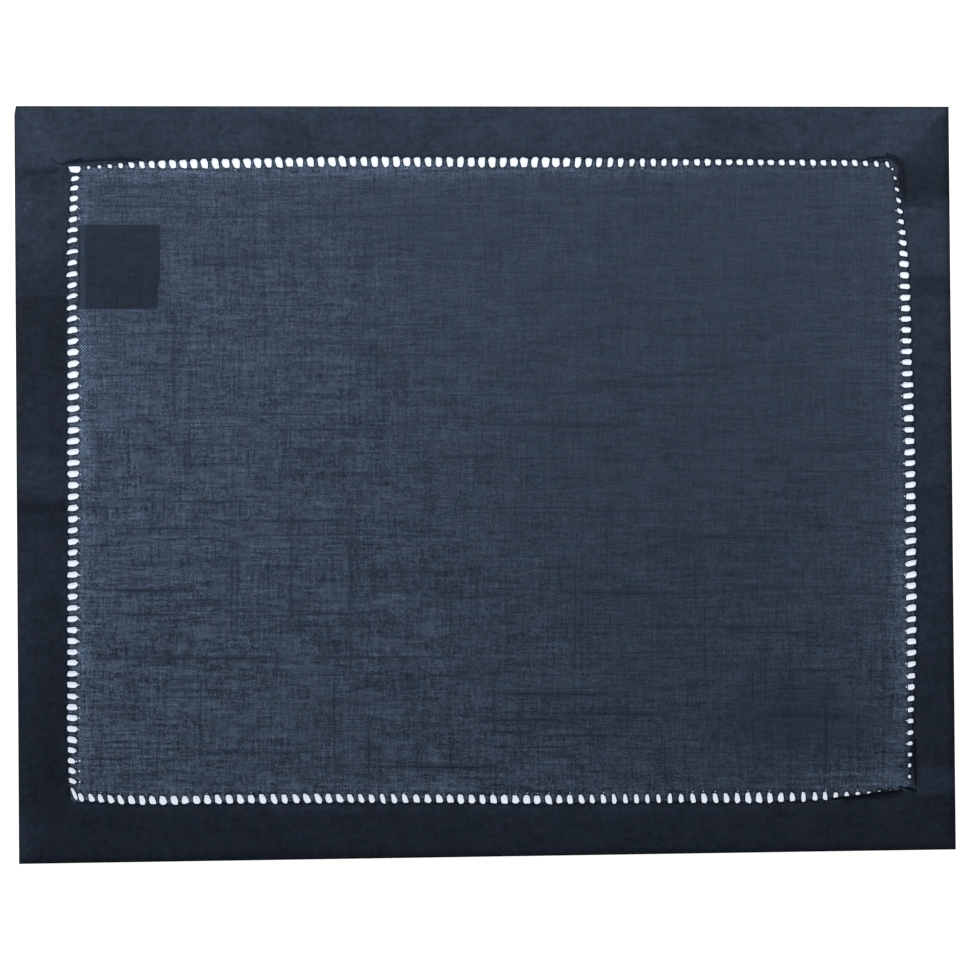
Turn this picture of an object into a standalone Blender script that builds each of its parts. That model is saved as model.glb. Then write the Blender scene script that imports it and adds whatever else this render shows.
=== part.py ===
"""Fabric placemat: one sheer cloth with a hemstitched hem, and a plain blank label under its left side.

The mat lies flat with its front up. X runs along the longer edges, Y along the shorter ones, and the
origin is on the table under the middle of the mat. Sizes here are millimetres, turned to metres by MM
where a shape is made.
"""

import math
import random
from collections import namedtuple

import bmesh
import bpy

MM = 0.001

# Levels, from the table up. The hem is folded to the back, so it reaches the table, and the single
# cloth of the field is carried by it just above the label.
CLOTH_THICK = 1.0
LABEL_THICK = 1.0
CLEARANCE = 0.3
HEM_PROUD = 0.2
FIELD_LOW = LABEL_THICK + CLEARANCE
FIELD_HIGH = FIELD_LOW + CLOTH_THICK
HEM_HIGH = FIELD_HIGH + HEM_PROUD

# The folded outer edge is round, and a cutter reaches this far past what it cuts.
FOLD_RADIUS = 0.7
FOLD_STEPS = 2
OVERCUT = 1.0

# The hem starts this far outside the gaps, at its line of stitching.
STITCH_MARGIN = 0.6

# A mitred corner shows from below as a shallow seam from the outer corner to the field.
MITRE_WIDE = 0.9
MITRE_DEEP = 0.5

# A gap is an eight-sided oval. Hand-guided stitching leaves each one a little off its neighbours.
GAP_SIDES = 8
UNEVEN_SEED = 7
UNEVEN_PLACE = 0.15
UNEVEN_SIZE = 0.07
UNEVEN_LEAN = 3.0

Point = namedtuple("Point", "x y")
Gap = namedtuple("Gap", "x y wide tall lean taper")
Section = namedtuple("Section", "number at line along across lean")
Row = namedtuple("Row", "upright outward sections")

# Outer corners, clockwise. The mat is taller at its left, and its top left corner is slightly nipped.
OUTLINE = {
    "top_left": Point(-229.0, 184.8),
    "top_right": Point(225.7, 184.6),
    "bottom_right": Point(229.6, -177.7),
    "bottom_left": Point(-227.4, -184.8),
    "nip": Point(-229.6, 180.4),
}

# The four rows of gaps, clockwise. number counts the gaps of a row, and those between two sections
# are blended from both. at is the place along the row and line is the place across it, both from the
# mat's middle; along and across are a gap's size in those two directions; lean is how far its sides
# slant, in degrees. upright rows run down the mat, and outward is the side that the hem lies on.
ROWS = {
    "top": Row(False, 1, (
        Section(0, -193.8, 154.9, 1.5, 1.5, 0),
        Section(4, -173.0, 156.1, 2.5, 2.9, -12),
        Section(8, -152.8, 156.5, 3.6, 4.2, -12),
        Section(12, -132.0, 156.8, 3.6, 4.8, -12),
        Section(24, -69.8, 157.8, 3.5, 5.0, -10),
        Section(36, -6.9, 157.5, 3.6, 4.9, -2),
        Section(44, 34.5, 157.4, 3.5, 4.8, 3),
        Section(48, 55.6, 157.4, 2.8, 4.7, 3),
        Section(52, 76.8, 157.3, 2.3, 3.7, 3),
        Section(60, 119.2, 157.5, 3.0, 2.9, -4),
        Section(72, 180.5, 157.1, 2.5, 2.8, -15),
        Section(75, 196.5, 156.4, 1.6, 2.9, -18),
    )),
    "right": Row(True, 1, (
        Section(0, 149.6, 200.2, 1.4, 1.4, -32),
        Section(2, 138.9, 201.9, 2.1, 2.3, -28),
        Section(5, 123.2, 203.8, 2.3, 3.2, -15),
        Section(8, 107.8, 204.6, 2.8, 4.4, -8),
        Section(11, 91.5, 205.2, 2.7, 4.8, -1),
        Section(17, 59.8, 206.0, 2.7, 4.9, 2),
        Section(23, 26.8, 207.1, 2.8, 4.8, 3),
        Section(29, -5.7, 207.8, 3.0, 5.1, 6),
        Section(35, -38.6, 208.0, 2.9, 5.0, 10),
        Section(41, -71.2, 208.2, 2.8, 4.8, 8),
        Section(44, -87.8, 208.2, 2.8, 3.9, 9),
        Section(47, -104.6, 207.9, 2.4, 3.2, 10),
        Section(50, -121.1, 207.6, 2.2, 2.7, 10),
        Section(54, -142.8, 207.2, 1.6, 1.4, 5),
    )),
    "bottom": Row(False, -1, (
        Section(0, 198.1, -149.5, 1.2, 0.9, 0),
        Section(2, 187.4, -150.8, 2.2, 1.5, 0),
        Section(5, 171.3, -151.9, 2.2, 3.3, 0),
        Section(7, 160.9, -152.4, 2.1, 4.1, -2),
        Section(11, 139.1, -153.0, 2.7, 5.0, -5),
        Section(17, 106.9, -153.2, 2.6, 4.6, -8),
        Section(21, 84.6, -153.4, 2.1, 4.5, -5),
        Section(28, 46.8, -153.7, 2.4, 4.3, -8),
        Section(32, 25.4, -153.9, 3.3, 4.2, -8),
        Section(41, -22.7, -153.5, 3.0, 4.3, -7),
        Section(46, -50.3, -153.4, 2.5, 4.3, -13),
        Section(51, -76.4, -153.3, 3.0, 4.4, -16),
        Section(60, -125.1, -153.7, 3.2, 4.3, -9),
        Section(66, -157.5, -154.3, 3.3, 4.2, -10),
        Section(70, -178.2, -154.0, 2.8, 4.3, -17),
        Section(74, -197.5, -152.8, 2.4, 3.9, -19),
    )),
    "left": Row(True, -1, (
        Section(0, -144.8, -201.8, 2.5, 3.4, -20),
        Section(2, -135.1, -202.3, 2.8, 3.4, -14),
        Section(4, -124.7, -201.9, 2.8, 4.9, -7),
        Section(7, -108.8, -201.9, 2.8, 5.0, -3),
        Section(13, -76.4, -201.8, 2.9, 5.0, 3),
        Section(19, -44.0, -201.6, 3.0, 5.1, 6),
        Section(22, -27.9, -201.6, 2.8, 5.1, 6),
        Section(28, 5.1, -201.4, 2.8, 5.3, 7),
        Section(34, 37.3, -201.3, 2.8, 5.3, 9),
        Section(40, 70.0, -201.6, 3.0, 5.2, 12),
        Section(43, 86.3, -202.0, 2.4, 4.9, 14),
        Section(49, 119.1, -201.8, 2.3, 5.0, 11),
        Section(52, 135.0, -201.3, 2.7, 4.2, 11),
        Section(55, 149.6, -200.6, 2.2, 3.7, 9),
    )),
}

# Where two rows meet, the gap has a shape of its own, or none is left.
CORNER_GAPS = (
    Gap(-200.6, 153.9, 5.0, 3.1, 0, 0.2),
    Gap(198.9, 154.1, 1.0, 1.2, 0, 0),
    Gap(-200.9, -151.2, 1.8, 6.0, -21, 0),
)

# Corners of the field, where the hem's inner edge turns. Each list follows the row of its name.
FIELD_CORNERS = {
    "top": (Point(200.6, 156.2),),
    "right": (Point(208.6, -149.2),),
    "bottom": (Point(-201.4, -155.6), Point(-203.8, -150.0)),
    "left": (Point(-204.2, 156.6),),
}

# The label is a square of about 41 mm whose right edge steps in near its foot.
LABEL_OUTLINE = (
    Point(-199.0, 126.7),
    Point(-158.8, 126.9),
    Point(-159.1, 98.0),
    Point(-160.0, 96.0),
    Point(-160.2, 85.9),
    Point(-199.0, 85.6),
)


def clear_scene():
    for thing in list(bpy.data.objects):
        bpy.data.objects.remove(thing, do_unlink=True)


def new_collection(name):
    collection = bpy.data.collections.new(name)
    bpy.context.scene.collection.children.link(collection)
    return collection


def fabric(name, colour, roughness):
    """A matt cloth finish: a linear colour, rough and without metal."""
    material = bpy.data.materials.new(name)
    material.use_nodes = True
    shader = material.node_tree.nodes["Principled BSDF"]
    shader.inputs["Base Color"].default_value = (*colour, 1.0)
    shader.inputs["Roughness"].default_value = roughness
    shader.inputs["Metallic"].default_value = 0.0
    return material


def prism(name, outlines, low, high, collection):
    """A mesh prism from z = low to z = high over each closed outline."""
    curve = bpy.data.curves.new(name + "_outline", "CURVE")
    curve.dimensions = "2D"
    curve.fill_mode = "BOTH"
    curve.extrude = (high - low) / 2 * MM
    for outline in outlines:
        spline = curve.splines.new("POLY")
        spline.points.add(len(outline) - 1)
        for spot, point in zip(spline.points, outline):
            spot.co = (point.x * MM, point.y * MM, 0.0, 1.0)
        spline.use_cyclic_u = True
    drawn = bpy.data.objects.new(name + "_outline", curve)
    drawn.location.z = (low + high) / 2 * MM
    collection.objects.link(drawn)

    bpy.context.view_layer.update()
    graph = bpy.context.evaluated_depsgraph_get()
    mesh = bpy.data.meshes.new_from_object(drawn.evaluated_get(graph))
    welding = bmesh.new()
    welding.from_mesh(mesh)
    bmesh.ops.remove_doubles(welding, verts=welding.verts, dist=1e-6)
    bmesh.ops.recalc_face_normals(welding, faces=welding.faces)
    welding.to_mesh(mesh)
    welding.free()

    solid = bpy.data.objects.new(name, mesh)
    solid.matrix_world = drawn.matrix_world.copy()
    collection.objects.link(solid)
    bpy.data.objects.remove(drawn, do_unlink=True)
    return solid


def cut_away(solid, cutter):
    """Takes the cutter's shape out of the solid, and keeps the cutter as a hidden wire shape."""
    cutter.hide_render = True
    cutter.display_type = "WIRE"
    boolean = solid.modifiers.new("cut_" + cutter.name, "BOOLEAN")
    boolean.operation = "DIFFERENCE"
    boolean.object = cutter


def section_at(sections, number):
    """The measures of one gap of a row, blended between the two sections on either side of it."""
    for before, after in zip(sections, sections[1:]):
        if number <= after.number:
            break
    share = (number - before.number) / (after.number - before.number)
    return Section(*(a + (b - a) * share for a, b in zip(before, after)))


def gap_outline(gap, upright):
    """An eight-sided oval, its sides slanted by lean and its width growing upwards by taper."""
    slant = math.tan(math.radians(gap.lean))
    reach = 0.5 / math.cos(math.pi / GAP_SIDES)
    outline = []
    for side in range(GAP_SIDES):
        angle = 2 * math.pi * (side + 0.5) / GAP_SIDES
        right = gap.wide * reach * math.cos(angle)
        up = gap.tall * reach * math.sin(angle)
        right *= 1 + gap.taper * up / (gap.tall / 2)
        if upright:
            outline.append(Point(gap.x + right, gap.y + up + slant * right))
        else:
            outline.append(Point(gap.x + right + slant * up, gap.y + up))
    return outline


def row_gaps(row, chance):
    """The gaps of one row, each a little uneven as hand-guided stitching leaves them."""
    gaps = []
    for number in range(row.sections[-1].number + 1):
        here = section_at(row.sections, number)
        at = here.at + chance.uniform(-UNEVEN_PLACE, UNEVEN_PLACE)
        along = here.along * (1 + chance.uniform(-UNEVEN_SIZE, UNEVEN_SIZE))
        across = here.across * (1 + chance.uniform(-UNEVEN_SIZE, UNEVEN_SIZE))
        lean = here.lean + chance.uniform(-UNEVEN_LEAN, UNEVEN_LEAN)
        if row.upright:
            gaps.append(Gap(here.line, at, across, along, lean, 0))
        else:
            gaps.append(Gap(at, here.line, along, across, lean, 0))
    return gaps


def gap_outlines():
    """Every gap's outline: the four rows, clockwise, and then the corners."""
    chance = random.Random(UNEVEN_SEED)
    outlines = []
    for row in ROWS.values():
        outlines += [gap_outline(gap, row.upright) for gap in row_gaps(row, chance)]
    outlines += [gap_outline(gap, False) for gap in CORNER_GAPS]
    return outlines


def field_outline():
    """The hem's inner edge, clockwise, just outside the gaps of each row."""
    outline = []
    for name, row in ROWS.items():
        for here in row.sections:
            edge = here.line + row.outward * (here.across * (1 + UNEVEN_SIZE) / 2 + STITCH_MARGIN)
            outline.append(Point(edge, here.at) if row.upright else Point(here.at, edge))
        outline += FIELD_CORNERS[name]
    return outline


def mitre_outlines():
    """A thin strip on each diagonal, from past the outer corner to just short of the field's corner."""
    pairs = (
        (OUTLINE["top_left"], FIELD_CORNERS["left"][0]),
        (OUTLINE["top_right"], FIELD_CORNERS["top"][0]),
        (OUTLINE["bottom_right"], FIELD_CORNERS["right"][0]),
        (OUTLINE["bottom_left"], FIELD_CORNERS["bottom"][0]),
    )
    outlines = []
    for outer, inner in pairs:
        length = math.dist(outer, inner)
        along = Point((inner.x - outer.x) / length, (inner.y - outer.y) / length)
        half = Point(-along.y * MITRE_WIDE / 2, along.x * MITRE_WIDE / 2)
        start = Point(outer.x - along.x * OVERCUT, outer.y - along.y * OVERCUT)
        end = Point(inner.x - along.x * OVERCUT, inner.y - along.y * OVERCUT)
        outlines.append((
            Point(start.x + half.x, start.y + half.y),
            Point(start.x - half.x, start.y - half.y),
            Point(end.x - half.x, end.y - half.y),
            Point(end.x + half.x, end.y + half.y),
        ))
    return outlines


def build_cloth(parts, cutters):
    """The whole mat at its hem's thickness, thinned to one cloth inside the hem, with its gaps cut."""
    cloth = prism("placemat_cloth", [tuple(OUTLINE.values())], 0.0, HEM_HIGH, parts)
    cloth.data.materials.append(fabric("navy_linen", (0.035, 0.050, 0.080), 0.9))
    fold = cloth.modifiers.new("folded_edge", "BEVEL")
    fold.width = FOLD_RADIUS * MM
    fold.segments = FOLD_STEPS
    fold.limit_method = "ANGLE"
    fold.angle_limit = math.radians(60)

    field = field_outline()
    above = prism("field_above", [field], FIELD_HIGH, HEM_HIGH + OVERCUT, cutters)
    below = prism("field_below", [field], -OVERCUT, FIELD_LOW, cutters)
    gaps = prism("hemstitch_gaps", gap_outlines(), -OVERCUT, HEM_HIGH + OVERCUT, cutters)
    mitres = prism("mitre_seams", mitre_outlines(), -OVERCUT, MITRE_DEEP, cutters)
    for cutter in (above, below, gaps, mitres):
        cut_away(cloth, cutter)
    return cloth


def build_label(parts):
    """A plain blank square that lies on the table under the cloth."""
    label = prism("blank_label", [LABEL_OUTLINE], 0.0, LABEL_THICK, parts)
    label.data.materials.append(fabric("dark_satin", (0.012, 0.016, 0.022), 0.7))
    return label


def main():
    clear_scene()
    parts = new_collection("fabric_placemat")
    cutters = new_collection("cutters")
    build_cloth(parts, cutters)
    build_label(parts)


main()
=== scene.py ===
# %% [markdown]
# # A hemstitched cloth placemat
# This notebook dresses a plain solid of a table mat: one sheer navy cloth, folded over and mitred round
# its edge, with a row of drawn-thread gaps sewn just inside the fold, and a blank label underneath.
# The solid is loaded first. It fixes the size and the place of every piece, in metres, with Z up and
# the table at zero. Everything that follows is written in millimetres and turned to metres at the end.

# %% Load the solid
import math
import random
from collections import namedtuple

import bpy
import numpy as np
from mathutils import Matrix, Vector
from mathutils.geometry import delaunay_2d_cdt


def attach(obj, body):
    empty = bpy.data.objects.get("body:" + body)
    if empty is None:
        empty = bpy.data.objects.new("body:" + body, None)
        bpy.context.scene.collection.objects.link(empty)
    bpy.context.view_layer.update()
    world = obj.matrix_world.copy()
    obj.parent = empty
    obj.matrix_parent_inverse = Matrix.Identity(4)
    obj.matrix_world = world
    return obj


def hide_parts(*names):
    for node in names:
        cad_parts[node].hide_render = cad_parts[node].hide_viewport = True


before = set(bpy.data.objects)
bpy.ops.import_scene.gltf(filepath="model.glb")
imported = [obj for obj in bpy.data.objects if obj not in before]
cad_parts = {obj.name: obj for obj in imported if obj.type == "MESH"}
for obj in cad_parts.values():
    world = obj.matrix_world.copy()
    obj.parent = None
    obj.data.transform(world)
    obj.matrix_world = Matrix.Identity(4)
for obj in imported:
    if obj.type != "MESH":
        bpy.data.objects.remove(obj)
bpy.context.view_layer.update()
MM = 0.001

# %% [markdown]
# ## The camera
# A flat cloth is drawn without distortion from straight above. A long lens far away keeps its edges
# parallel. The picture is square, and one of its pixels is worth 0.488 mm of cloth, so its width gives
# the height of the camera: lens over sensor is the same ratio as distance over width.

# %% Camera straight above
PHOTO_SIDE = 970
MM_PER_PIXEL = 0.48825
LENS_MM = 100.0
SENSOR_MM = 36.0
VIEW_X, VIEW_Y = -0.19, -0.24
CLOTH_TOP = 2.3

distance = PHOTO_SIDE * MM_PER_PIXEL * LENS_MM / SENSOR_MM
camera = bpy.data.objects.new("camera", bpy.data.cameras.new("camera"))
camera.data.lens = LENS_MM
camera.data.sensor_width = SENSOR_MM
camera.data.clip_end = 50
camera.location = (VIEW_X * MM, VIEW_Y * MM, (CLOTH_TOP + distance) * MM)
bpy.context.collection.objects.link(camera)
bpy.context.scene.camera = camera
bpy.context.scene.view_settings.view_transform = "Standard"
print("camera height, mm:", round(distance))

# %% [markdown]
# ## Helpers for materials
# Colours are easiest to read as sRGB hex, the way a picture editor shows them, but a shader needs
# linear light. One function turns the first into the second. Another adds a node to a material with
# its settings and its inputs, where an input is a value or the socket of an earlier node. The same could
# be wired by hand in the shader editor, but written down it can be read and repeated.

# %% Colour and node helpers
def linear(hex_colour):
    """An sRGB hex colour such as '28303B' as linear red, green, blue and full alpha."""
    shares = [int(hex_colour[at:at + 2], 16) / 255 for at in (0, 2, 4)]
    return tuple(s / 12.92 if s <= 0.04045 else ((s + 0.055) / 1.055) ** 2.4 for s in shares) + (1.0,)


def add_node(tree, kind, inputs=None, **settings):
    """Adds a node, sets its own settings, and fills its inputs with values or with linked sockets."""
    node = tree.nodes.new(kind)
    for name, value in settings.items():
        setattr(node, name, value)
    for name, value in (inputs or {}).items():
        if isinstance(value, bpy.types.NodeSocket):
            tree.links.new(value, node.inputs[name])
        else:
            node.inputs[name].default_value = value
    return node


def new_material(name):
    """An empty node material with its Principled shader, and the tree to build in."""
    material = bpy.data.materials.new(name)
    material.use_nodes = True
    tree = material.node_tree
    return material, tree, tree.nodes["Principled BSDF"]


def set_inputs(shader, values):
    """Sets inputs of a shader to plain values."""
    for name, value in values.items():
        shader.inputs[name].default_value = value


print("mid grey in linear light:", round(linear("808080")[0], 3))

# %% [markdown]
# ## The floor and the light
# The mat lies on the white opal glass of a light box. Its glow shows through every gap, and makes single
# cloth look lighter than folded cloth. A plain white floor could be lit from above, but then the gaps
# would look grey. Under the mat the glow is dimmed and cooled in a box of the mat's size: a painted
# shadow of the mat. Opal glass is milky and matt, so it shows no reflection of the cloth.

# %% White glowing floor
FLOOR_M = 30
# The painted shadow of the mat on the glass: its half width and half height, and its soft border, in mm.
SHADE_X, SHADE_Y, SHADE_BLEND = 221.0, 174.0, 4.0
GLOW = 1.03
WHITE_GLOW, PAINTED_SHADOW_GLOW, OPAL_GREY = "FFFFFF", "D0D8E7", "898989"


def opal_glass():
    """Matt opal glass lit from below: an even white glow, with a painted shadow of the mat that dims and
    cools it.
    """
    material, tree, shader = new_material("opal_glass_of_a_light_box")
    place = add_node(tree, "ShaderNodeTexCoord").outputs["Object"]
    size = add_node(tree, "ShaderNodeVectorMath", {0: place}, operation="ABSOLUTE")
    parts = add_node(tree, "ShaderNodeSeparateXYZ", {0: size.outputs[0]})
    shaded = 1.0
    for part, half in ((parts.outputs[0], SHADE_X), (parts.outputs[1], SHADE_Y)):
        inside = add_node(tree, "ShaderNodeMapRange", {
            "Value": part, "From Min": half * MM, "From Max": (half - SHADE_BLEND) * MM})
        shaded = add_node(tree, "ShaderNodeMath", {
            0: inside.outputs[0], 1: shaded}, operation="MULTIPLY").outputs[0]
    # Inside the painted shadow the glow turns to the dimmer, cooler colour.
    glow = add_node(tree, "ShaderNodeMix", {
        0: shaded, 6: linear(WHITE_GLOW), 7: linear(PAINTED_SHADOW_GLOW)}, data_type="RGBA")
    tree.links.new(glow.outputs[2], shader.inputs["Emission Color"])
    set_inputs(shader, {
        "Emission Strength": GLOW, "Base Color": linear(OPAL_GREY), "Roughness": 0.9,
        "Specular IOR Level": 0.0})
    material.cycles.emission_sampling = "NONE"
    return material


bpy.ops.mesh.primitive_plane_add(size=FLOOR_M)
floor = bpy.context.object
floor.name = "floor"
floor.data.materials.append(opal_glass())
print("floor, m across:", FLOOR_M)

# %% [markdown]
# A long, shallow soft box hangs above the far edge of the mat. A sun or a small lamp would draw a hard
# shadow of every thread. A wide area light is soft, and its nearness makes the far hem lighter than the
# near one, as on the real mat. The room adds only a breath of light, and looks pale to the camera.

# %% Soft box and room
LIGHT_Y, LIGHT_Z = 222.0, 342.0
LIGHT_LONG, LIGHT_DEEP = 1500.0, 220.0
LIGHT_WATTS = 5.3
ROOM_GLOW = 0.10

soft_box = bpy.data.objects.new("soft_box", bpy.data.lights.new("soft_box", "AREA"))
soft_box.data.shape = "RECTANGLE"
soft_box.data.size = LIGHT_LONG * MM
soft_box.data.size_y = LIGHT_DEEP * MM
soft_box.data.energy = LIGHT_WATTS
soft_box.location = (0, LIGHT_Y * MM, LIGHT_Z * MM)
soft_box.visible_camera = False
bpy.context.collection.objects.link(soft_box)

world = bpy.data.worlds.new("studio")
world.use_nodes = True
bpy.context.scene.world = world
wires = world.node_tree
wires.nodes.clear()
seen = add_node(wires, "ShaderNodeBackground", {"Color": linear("F3F3F3"), "Strength": 1.0})
given = add_node(wires, "ShaderNodeBackground", {"Color": linear("FFFFFF"), "Strength": ROOM_GLOW})
ray = add_node(wires, "ShaderNodeLightPath")
choice = add_node(wires, "ShaderNodeMixShader", {
    0: ray.outputs["Is Camera Ray"], 1: given.outputs[0], 2: seen.outputs[0]})
add_node(wires, "ShaderNodeOutputWorld", {"Surface": choice.outputs[0]})
print("soft box, mm:", LIGHT_LONG, "by", LIGHT_DEEP, "at height", LIGHT_Z)

# %% [markdown]
# ## Where the gaps are
# Hemstitching draws out a band of threads along each side and bundles the threads that are left, so a
# ladder of gaps appears. The machine is guided by hand: the gaps shrink and lean towards the corners.
# An array modifier would make a row of equal gaps. A table of a few measured ones says more: where the
# row bends, and where its gaps grow, shrink and lean.

# %% Table of measured gaps
Point = namedtuple("Point", "x y")
Gap = namedtuple("Gap", "x y wide tall lean taper power")
Section = namedtuple("Section", "number at line along across lean")
Row = namedtuple("Row", "upright outward power taper sections")

# number counts the gaps of a row. at is the place along it and line the place across it, in mm from
# the middle of the mat. along and across are a gap's size in those directions, and lean is in degrees.
# power is how square a row's gaps are, from 2 for an ellipse, and taper how much wider they are above.
ROWS = {
    "top": Row(False, 1, 3.2, 0.12, (
        Section(0, -193.8, 154.9, 1.5, 1.5, 0),
        Section(4, -173.0, 156.1, 2.5, 2.9, -12),
        Section(8, -152.8, 156.5, 3.6, 4.2, -12),
        Section(12, -132.0, 156.8, 3.5, 4.7, -12),
        Section(24, -69.8, 157.8, 3.3, 4.8, -10),
        Section(36, -6.9, 157.5, 3.4, 4.8, -2),
        Section(44, 34.5, 157.4, 3.5, 4.8, 3),
        Section(48, 55.6, 157.4, 2.8, 4.7, 3),
        Section(52, 76.8, 157.3, 2.3, 3.7, 3),
        Section(60, 119.2, 157.5, 3.0, 2.9, -4),
        Section(72, 180.5, 157.1, 2.5, 2.8, -15),
        Section(75, 196.5, 156.4, 1.6, 2.9, -18),
    )),
    "right": Row(True, 1, 3.6, 0.0, (
        Section(0, 149.6, 200.2, 1.4, 1.4, -32),
        Section(2, 138.9, 201.9, 2.1, 2.3, -28),
        Section(5, 123.2, 203.8, 2.3, 3.2, -15),
        Section(8, 107.8, 204.6, 2.8, 4.4, -8),
        Section(11, 91.5, 205.2, 2.7, 4.8, -1),
        Section(17, 59.8, 206.0, 2.7, 4.9, 2),
        Section(23, 26.8, 207.1, 2.8, 4.8, 3),
        Section(29, -5.7, 207.8, 3.0, 5.1, 6),
        Section(35, -38.6, 208.0, 2.9, 5.0, 10),
        Section(41, -71.2, 208.2, 2.8, 4.8, 8),
        Section(44, -87.8, 208.2, 2.8, 3.9, 9),
        Section(47, -104.6, 207.9, 2.4, 3.2, 10),
        Section(50, -121.1, 207.6, 2.2, 2.7, 10),
        Section(54, -142.8, 207.2, 1.6, 1.4, 5),
    )),
    "bottom": Row(False, -1, 3.0, -0.18, (
        Section(0, 198.1, -149.5, 1.2, 0.9, 0),
        Section(2, 187.4, -150.8, 2.2, 1.5, 0),
        Section(5, 171.3, -151.9, 2.2, 3.3, 0),
        Section(7, 160.9, -152.4, 2.1, 4.1, -2),
        Section(11, 139.1, -153.0, 2.7, 5.0, -5),
        Section(17, 106.9, -153.2, 2.6, 4.6, -8),
        Section(21, 84.6, -153.4, 2.1, 4.5, -5),
        Section(28, 46.8, -153.7, 2.4, 4.3, -8),
        Section(32, 25.4, -153.9, 3.3, 4.2, -8),
        Section(41, -22.7, -153.5, 3.0, 4.3, -7),
        Section(46, -50.3, -153.4, 2.5, 4.3, -13),
        Section(51, -76.4, -153.3, 3.0, 4.4, -16),
        Section(60, -125.1, -153.7, 3.2, 4.3, -9),
        Section(66, -157.5, -154.3, 3.3, 4.2, -10),
        Section(70, -178.2, -154.0, 2.8, 4.3, -17),
        Section(74, -197.5, -152.8, 2.4, 3.9, -19),
    )),
    "left": Row(True, -1, 3.6, 0.0, (
        Section(0, -144.8, -201.8, 2.5, 3.4, -20),
        Section(2, -135.1, -202.3, 2.8, 3.4, -14),
        Section(4, -124.7, -201.9, 2.8, 4.9, -7),
        Section(7, -108.8, -201.9, 2.8, 5.0, -3),
        Section(13, -76.4, -201.8, 2.9, 5.0, 3),
        Section(19, -44.0, -201.6, 3.0, 5.1, 6),
        Section(22, -27.9, -201.6, 2.8, 5.1, 6),
        Section(28, 5.1, -201.4, 3.0, 5.4, 7),
        Section(34, 37.3, -201.3, 3.1, 5.6, 9),
        Section(40, 70.0, -201.6, 3.1, 5.3, 12),
        Section(43, 86.3, -202.0, 2.4, 4.9, 14),
        Section(49, 119.1, -201.8, 2.3, 5.0, 11),
        Section(52, 135.0, -201.3, 2.7, 4.2, 11),
        Section(55, 149.6, -200.6, 2.2, 3.7, 9),
    )),
}
CORNER_GAPS = (
    Gap(-200.6, 153.9, 5.5, 3.1, 0, 0.28, 4.5),
    Gap(198.9, 154.1, 1.0, 1.2, 0, 0, 2.6),
    Gap(-200.9, -151.2, 1.8, 6.0, -21, 0, 2.6),
)
print("measured gaps:", {name: len(row.sections) for name, row in ROWS.items()})

# %% [markdown]
# The gaps between the measured ones are blended from their neighbours. Each is then nudged a little by a
# seeded random draw, so the row is as uneven as handwork, and yet the same in every run.

# %% Blend the gaps of each row
UNEVEN_SEED = 7
UNEVEN_PLACE = 0.15
UNEVEN_SIZE = 0.07
UNEVEN_LEAN = 3.0


def section_at(sections, number):
    """The measures of one gap of a row, blended between the two sections on either side of it."""
    for before, after in zip(sections, sections[1:]):
        if number <= after.number:
            break
    share = (number - before.number) / (after.number - before.number)
    return Section(*(a + (b - a) * share for a, b in zip(before, after)))


def row_gaps(row, chance):
    """The gaps of one row, each a little uneven. The draws come in the order of the solid's own."""
    gaps = []
    for number in range(row.sections[-1].number + 1):
        here = section_at(row.sections, number)
        at = here.at + chance.uniform(-UNEVEN_PLACE, UNEVEN_PLACE)
        along = here.along * (1 + chance.uniform(-UNEVEN_SIZE, UNEVEN_SIZE))
        across = here.across * (1 + chance.uniform(-UNEVEN_SIZE, UNEVEN_SIZE))
        lean = here.lean + chance.uniform(-UNEVEN_LEAN, UNEVEN_LEAN)
        if row.upright:
            gaps.append(Gap(here.line, at, across, along, lean, row.taper, row.power))
        else:
            gaps.append(Gap(at, here.line, along, across, lean, row.taper, row.power))
    return gaps


chance = random.Random(UNEVEN_SEED)
GAPS = {name: row_gaps(row, chance) for name, row in ROWS.items()}
print("gaps:", {name: len(gaps) for name, gaps in GAPS.items()}, "and", len(CORNER_GAPS), "at corners")

# %% [markdown]
# ## The outline, the stitch line and the rings between them
# The hem is one strip of the same cloth, folded to the back. Seen as a flat drawing it is a stack of
# rings between two lines: the outer fold and the stitch line beside the gaps. A solidify modifier would
# thicken the cloth, but it can't fold it. So a ring is the outline moved inward by the same amount on
# every side, and its corners run down the mitres by themselves. All rings have the same stations, which
# lets one ring be joined to the next with plain quads.

# %% Outline and rings
# Outer corners, clockwise from the top left. The last one nips the top left corner.
OUTLINE = (
    Point(-229.5, 185.0),
    Point(226.4, 184.7),
    Point(229.9, -178.35),
    Point(-227.9, -185.45),
    Point(-230.2, 180.7),
)
SIDE_OF_CORNER = ("top", "right", "bottom", "left", "left")
STATION = 3.0
NEAR_CORNER = (0.6, 1.9, 3.8)


def stations(length):
    """Places along a side as shares of its length: closer together beside the corners."""
    count = max(1, round((length - 2 * NEAR_CORNER[-1]) / STATION)) if length > 20 else 0
    if not count:
        return [0.0, 0.5]
    middle = np.linspace(NEAR_CORNER[-1], length - NEAR_CORNER[-1], count + 1)
    places = [0.0, *NEAR_CORNER[:-1], *middle, *(length - n for n in NEAR_CORNER[-2::-1])]
    return [p / length for p in places]


def ring(inset):
    """The outline moved inward by inset, as an array of points at the shared stations."""
    corners = np.array(OUTLINE)
    sides = np.roll(corners, -1, axis=0) - corners
    sides /= np.linalg.norm(sides, axis=1)[:, None]
    inward = np.stack([sides[:, 1], -sides[:, 0]], axis=1)
    before = np.roll(inward, 1, axis=0)
    mitre = (inward + before) / (1 + (inward * before).sum(axis=1))[:, None]
    moved = corners + mitre * inset
    places = []
    for number, corner in enumerate(moved):
        following = moved[(number + 1) % len(moved)]
        length = math.dist(OUTLINE[number], OUTLINE[(number + 1) % len(OUTLINE)])
        places += [corner + (following - corner) * share for share in stations(length)]
    return np.array(places)


print("points of a ring:", len(ring(0)))

# %% [markdown]
# The stitch line runs just outside the gaps, from corner to corner. It is worked out from the same table
# as the gaps. Drawn by hand it would cut into some of them as soon as a measure there was changed.

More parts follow.
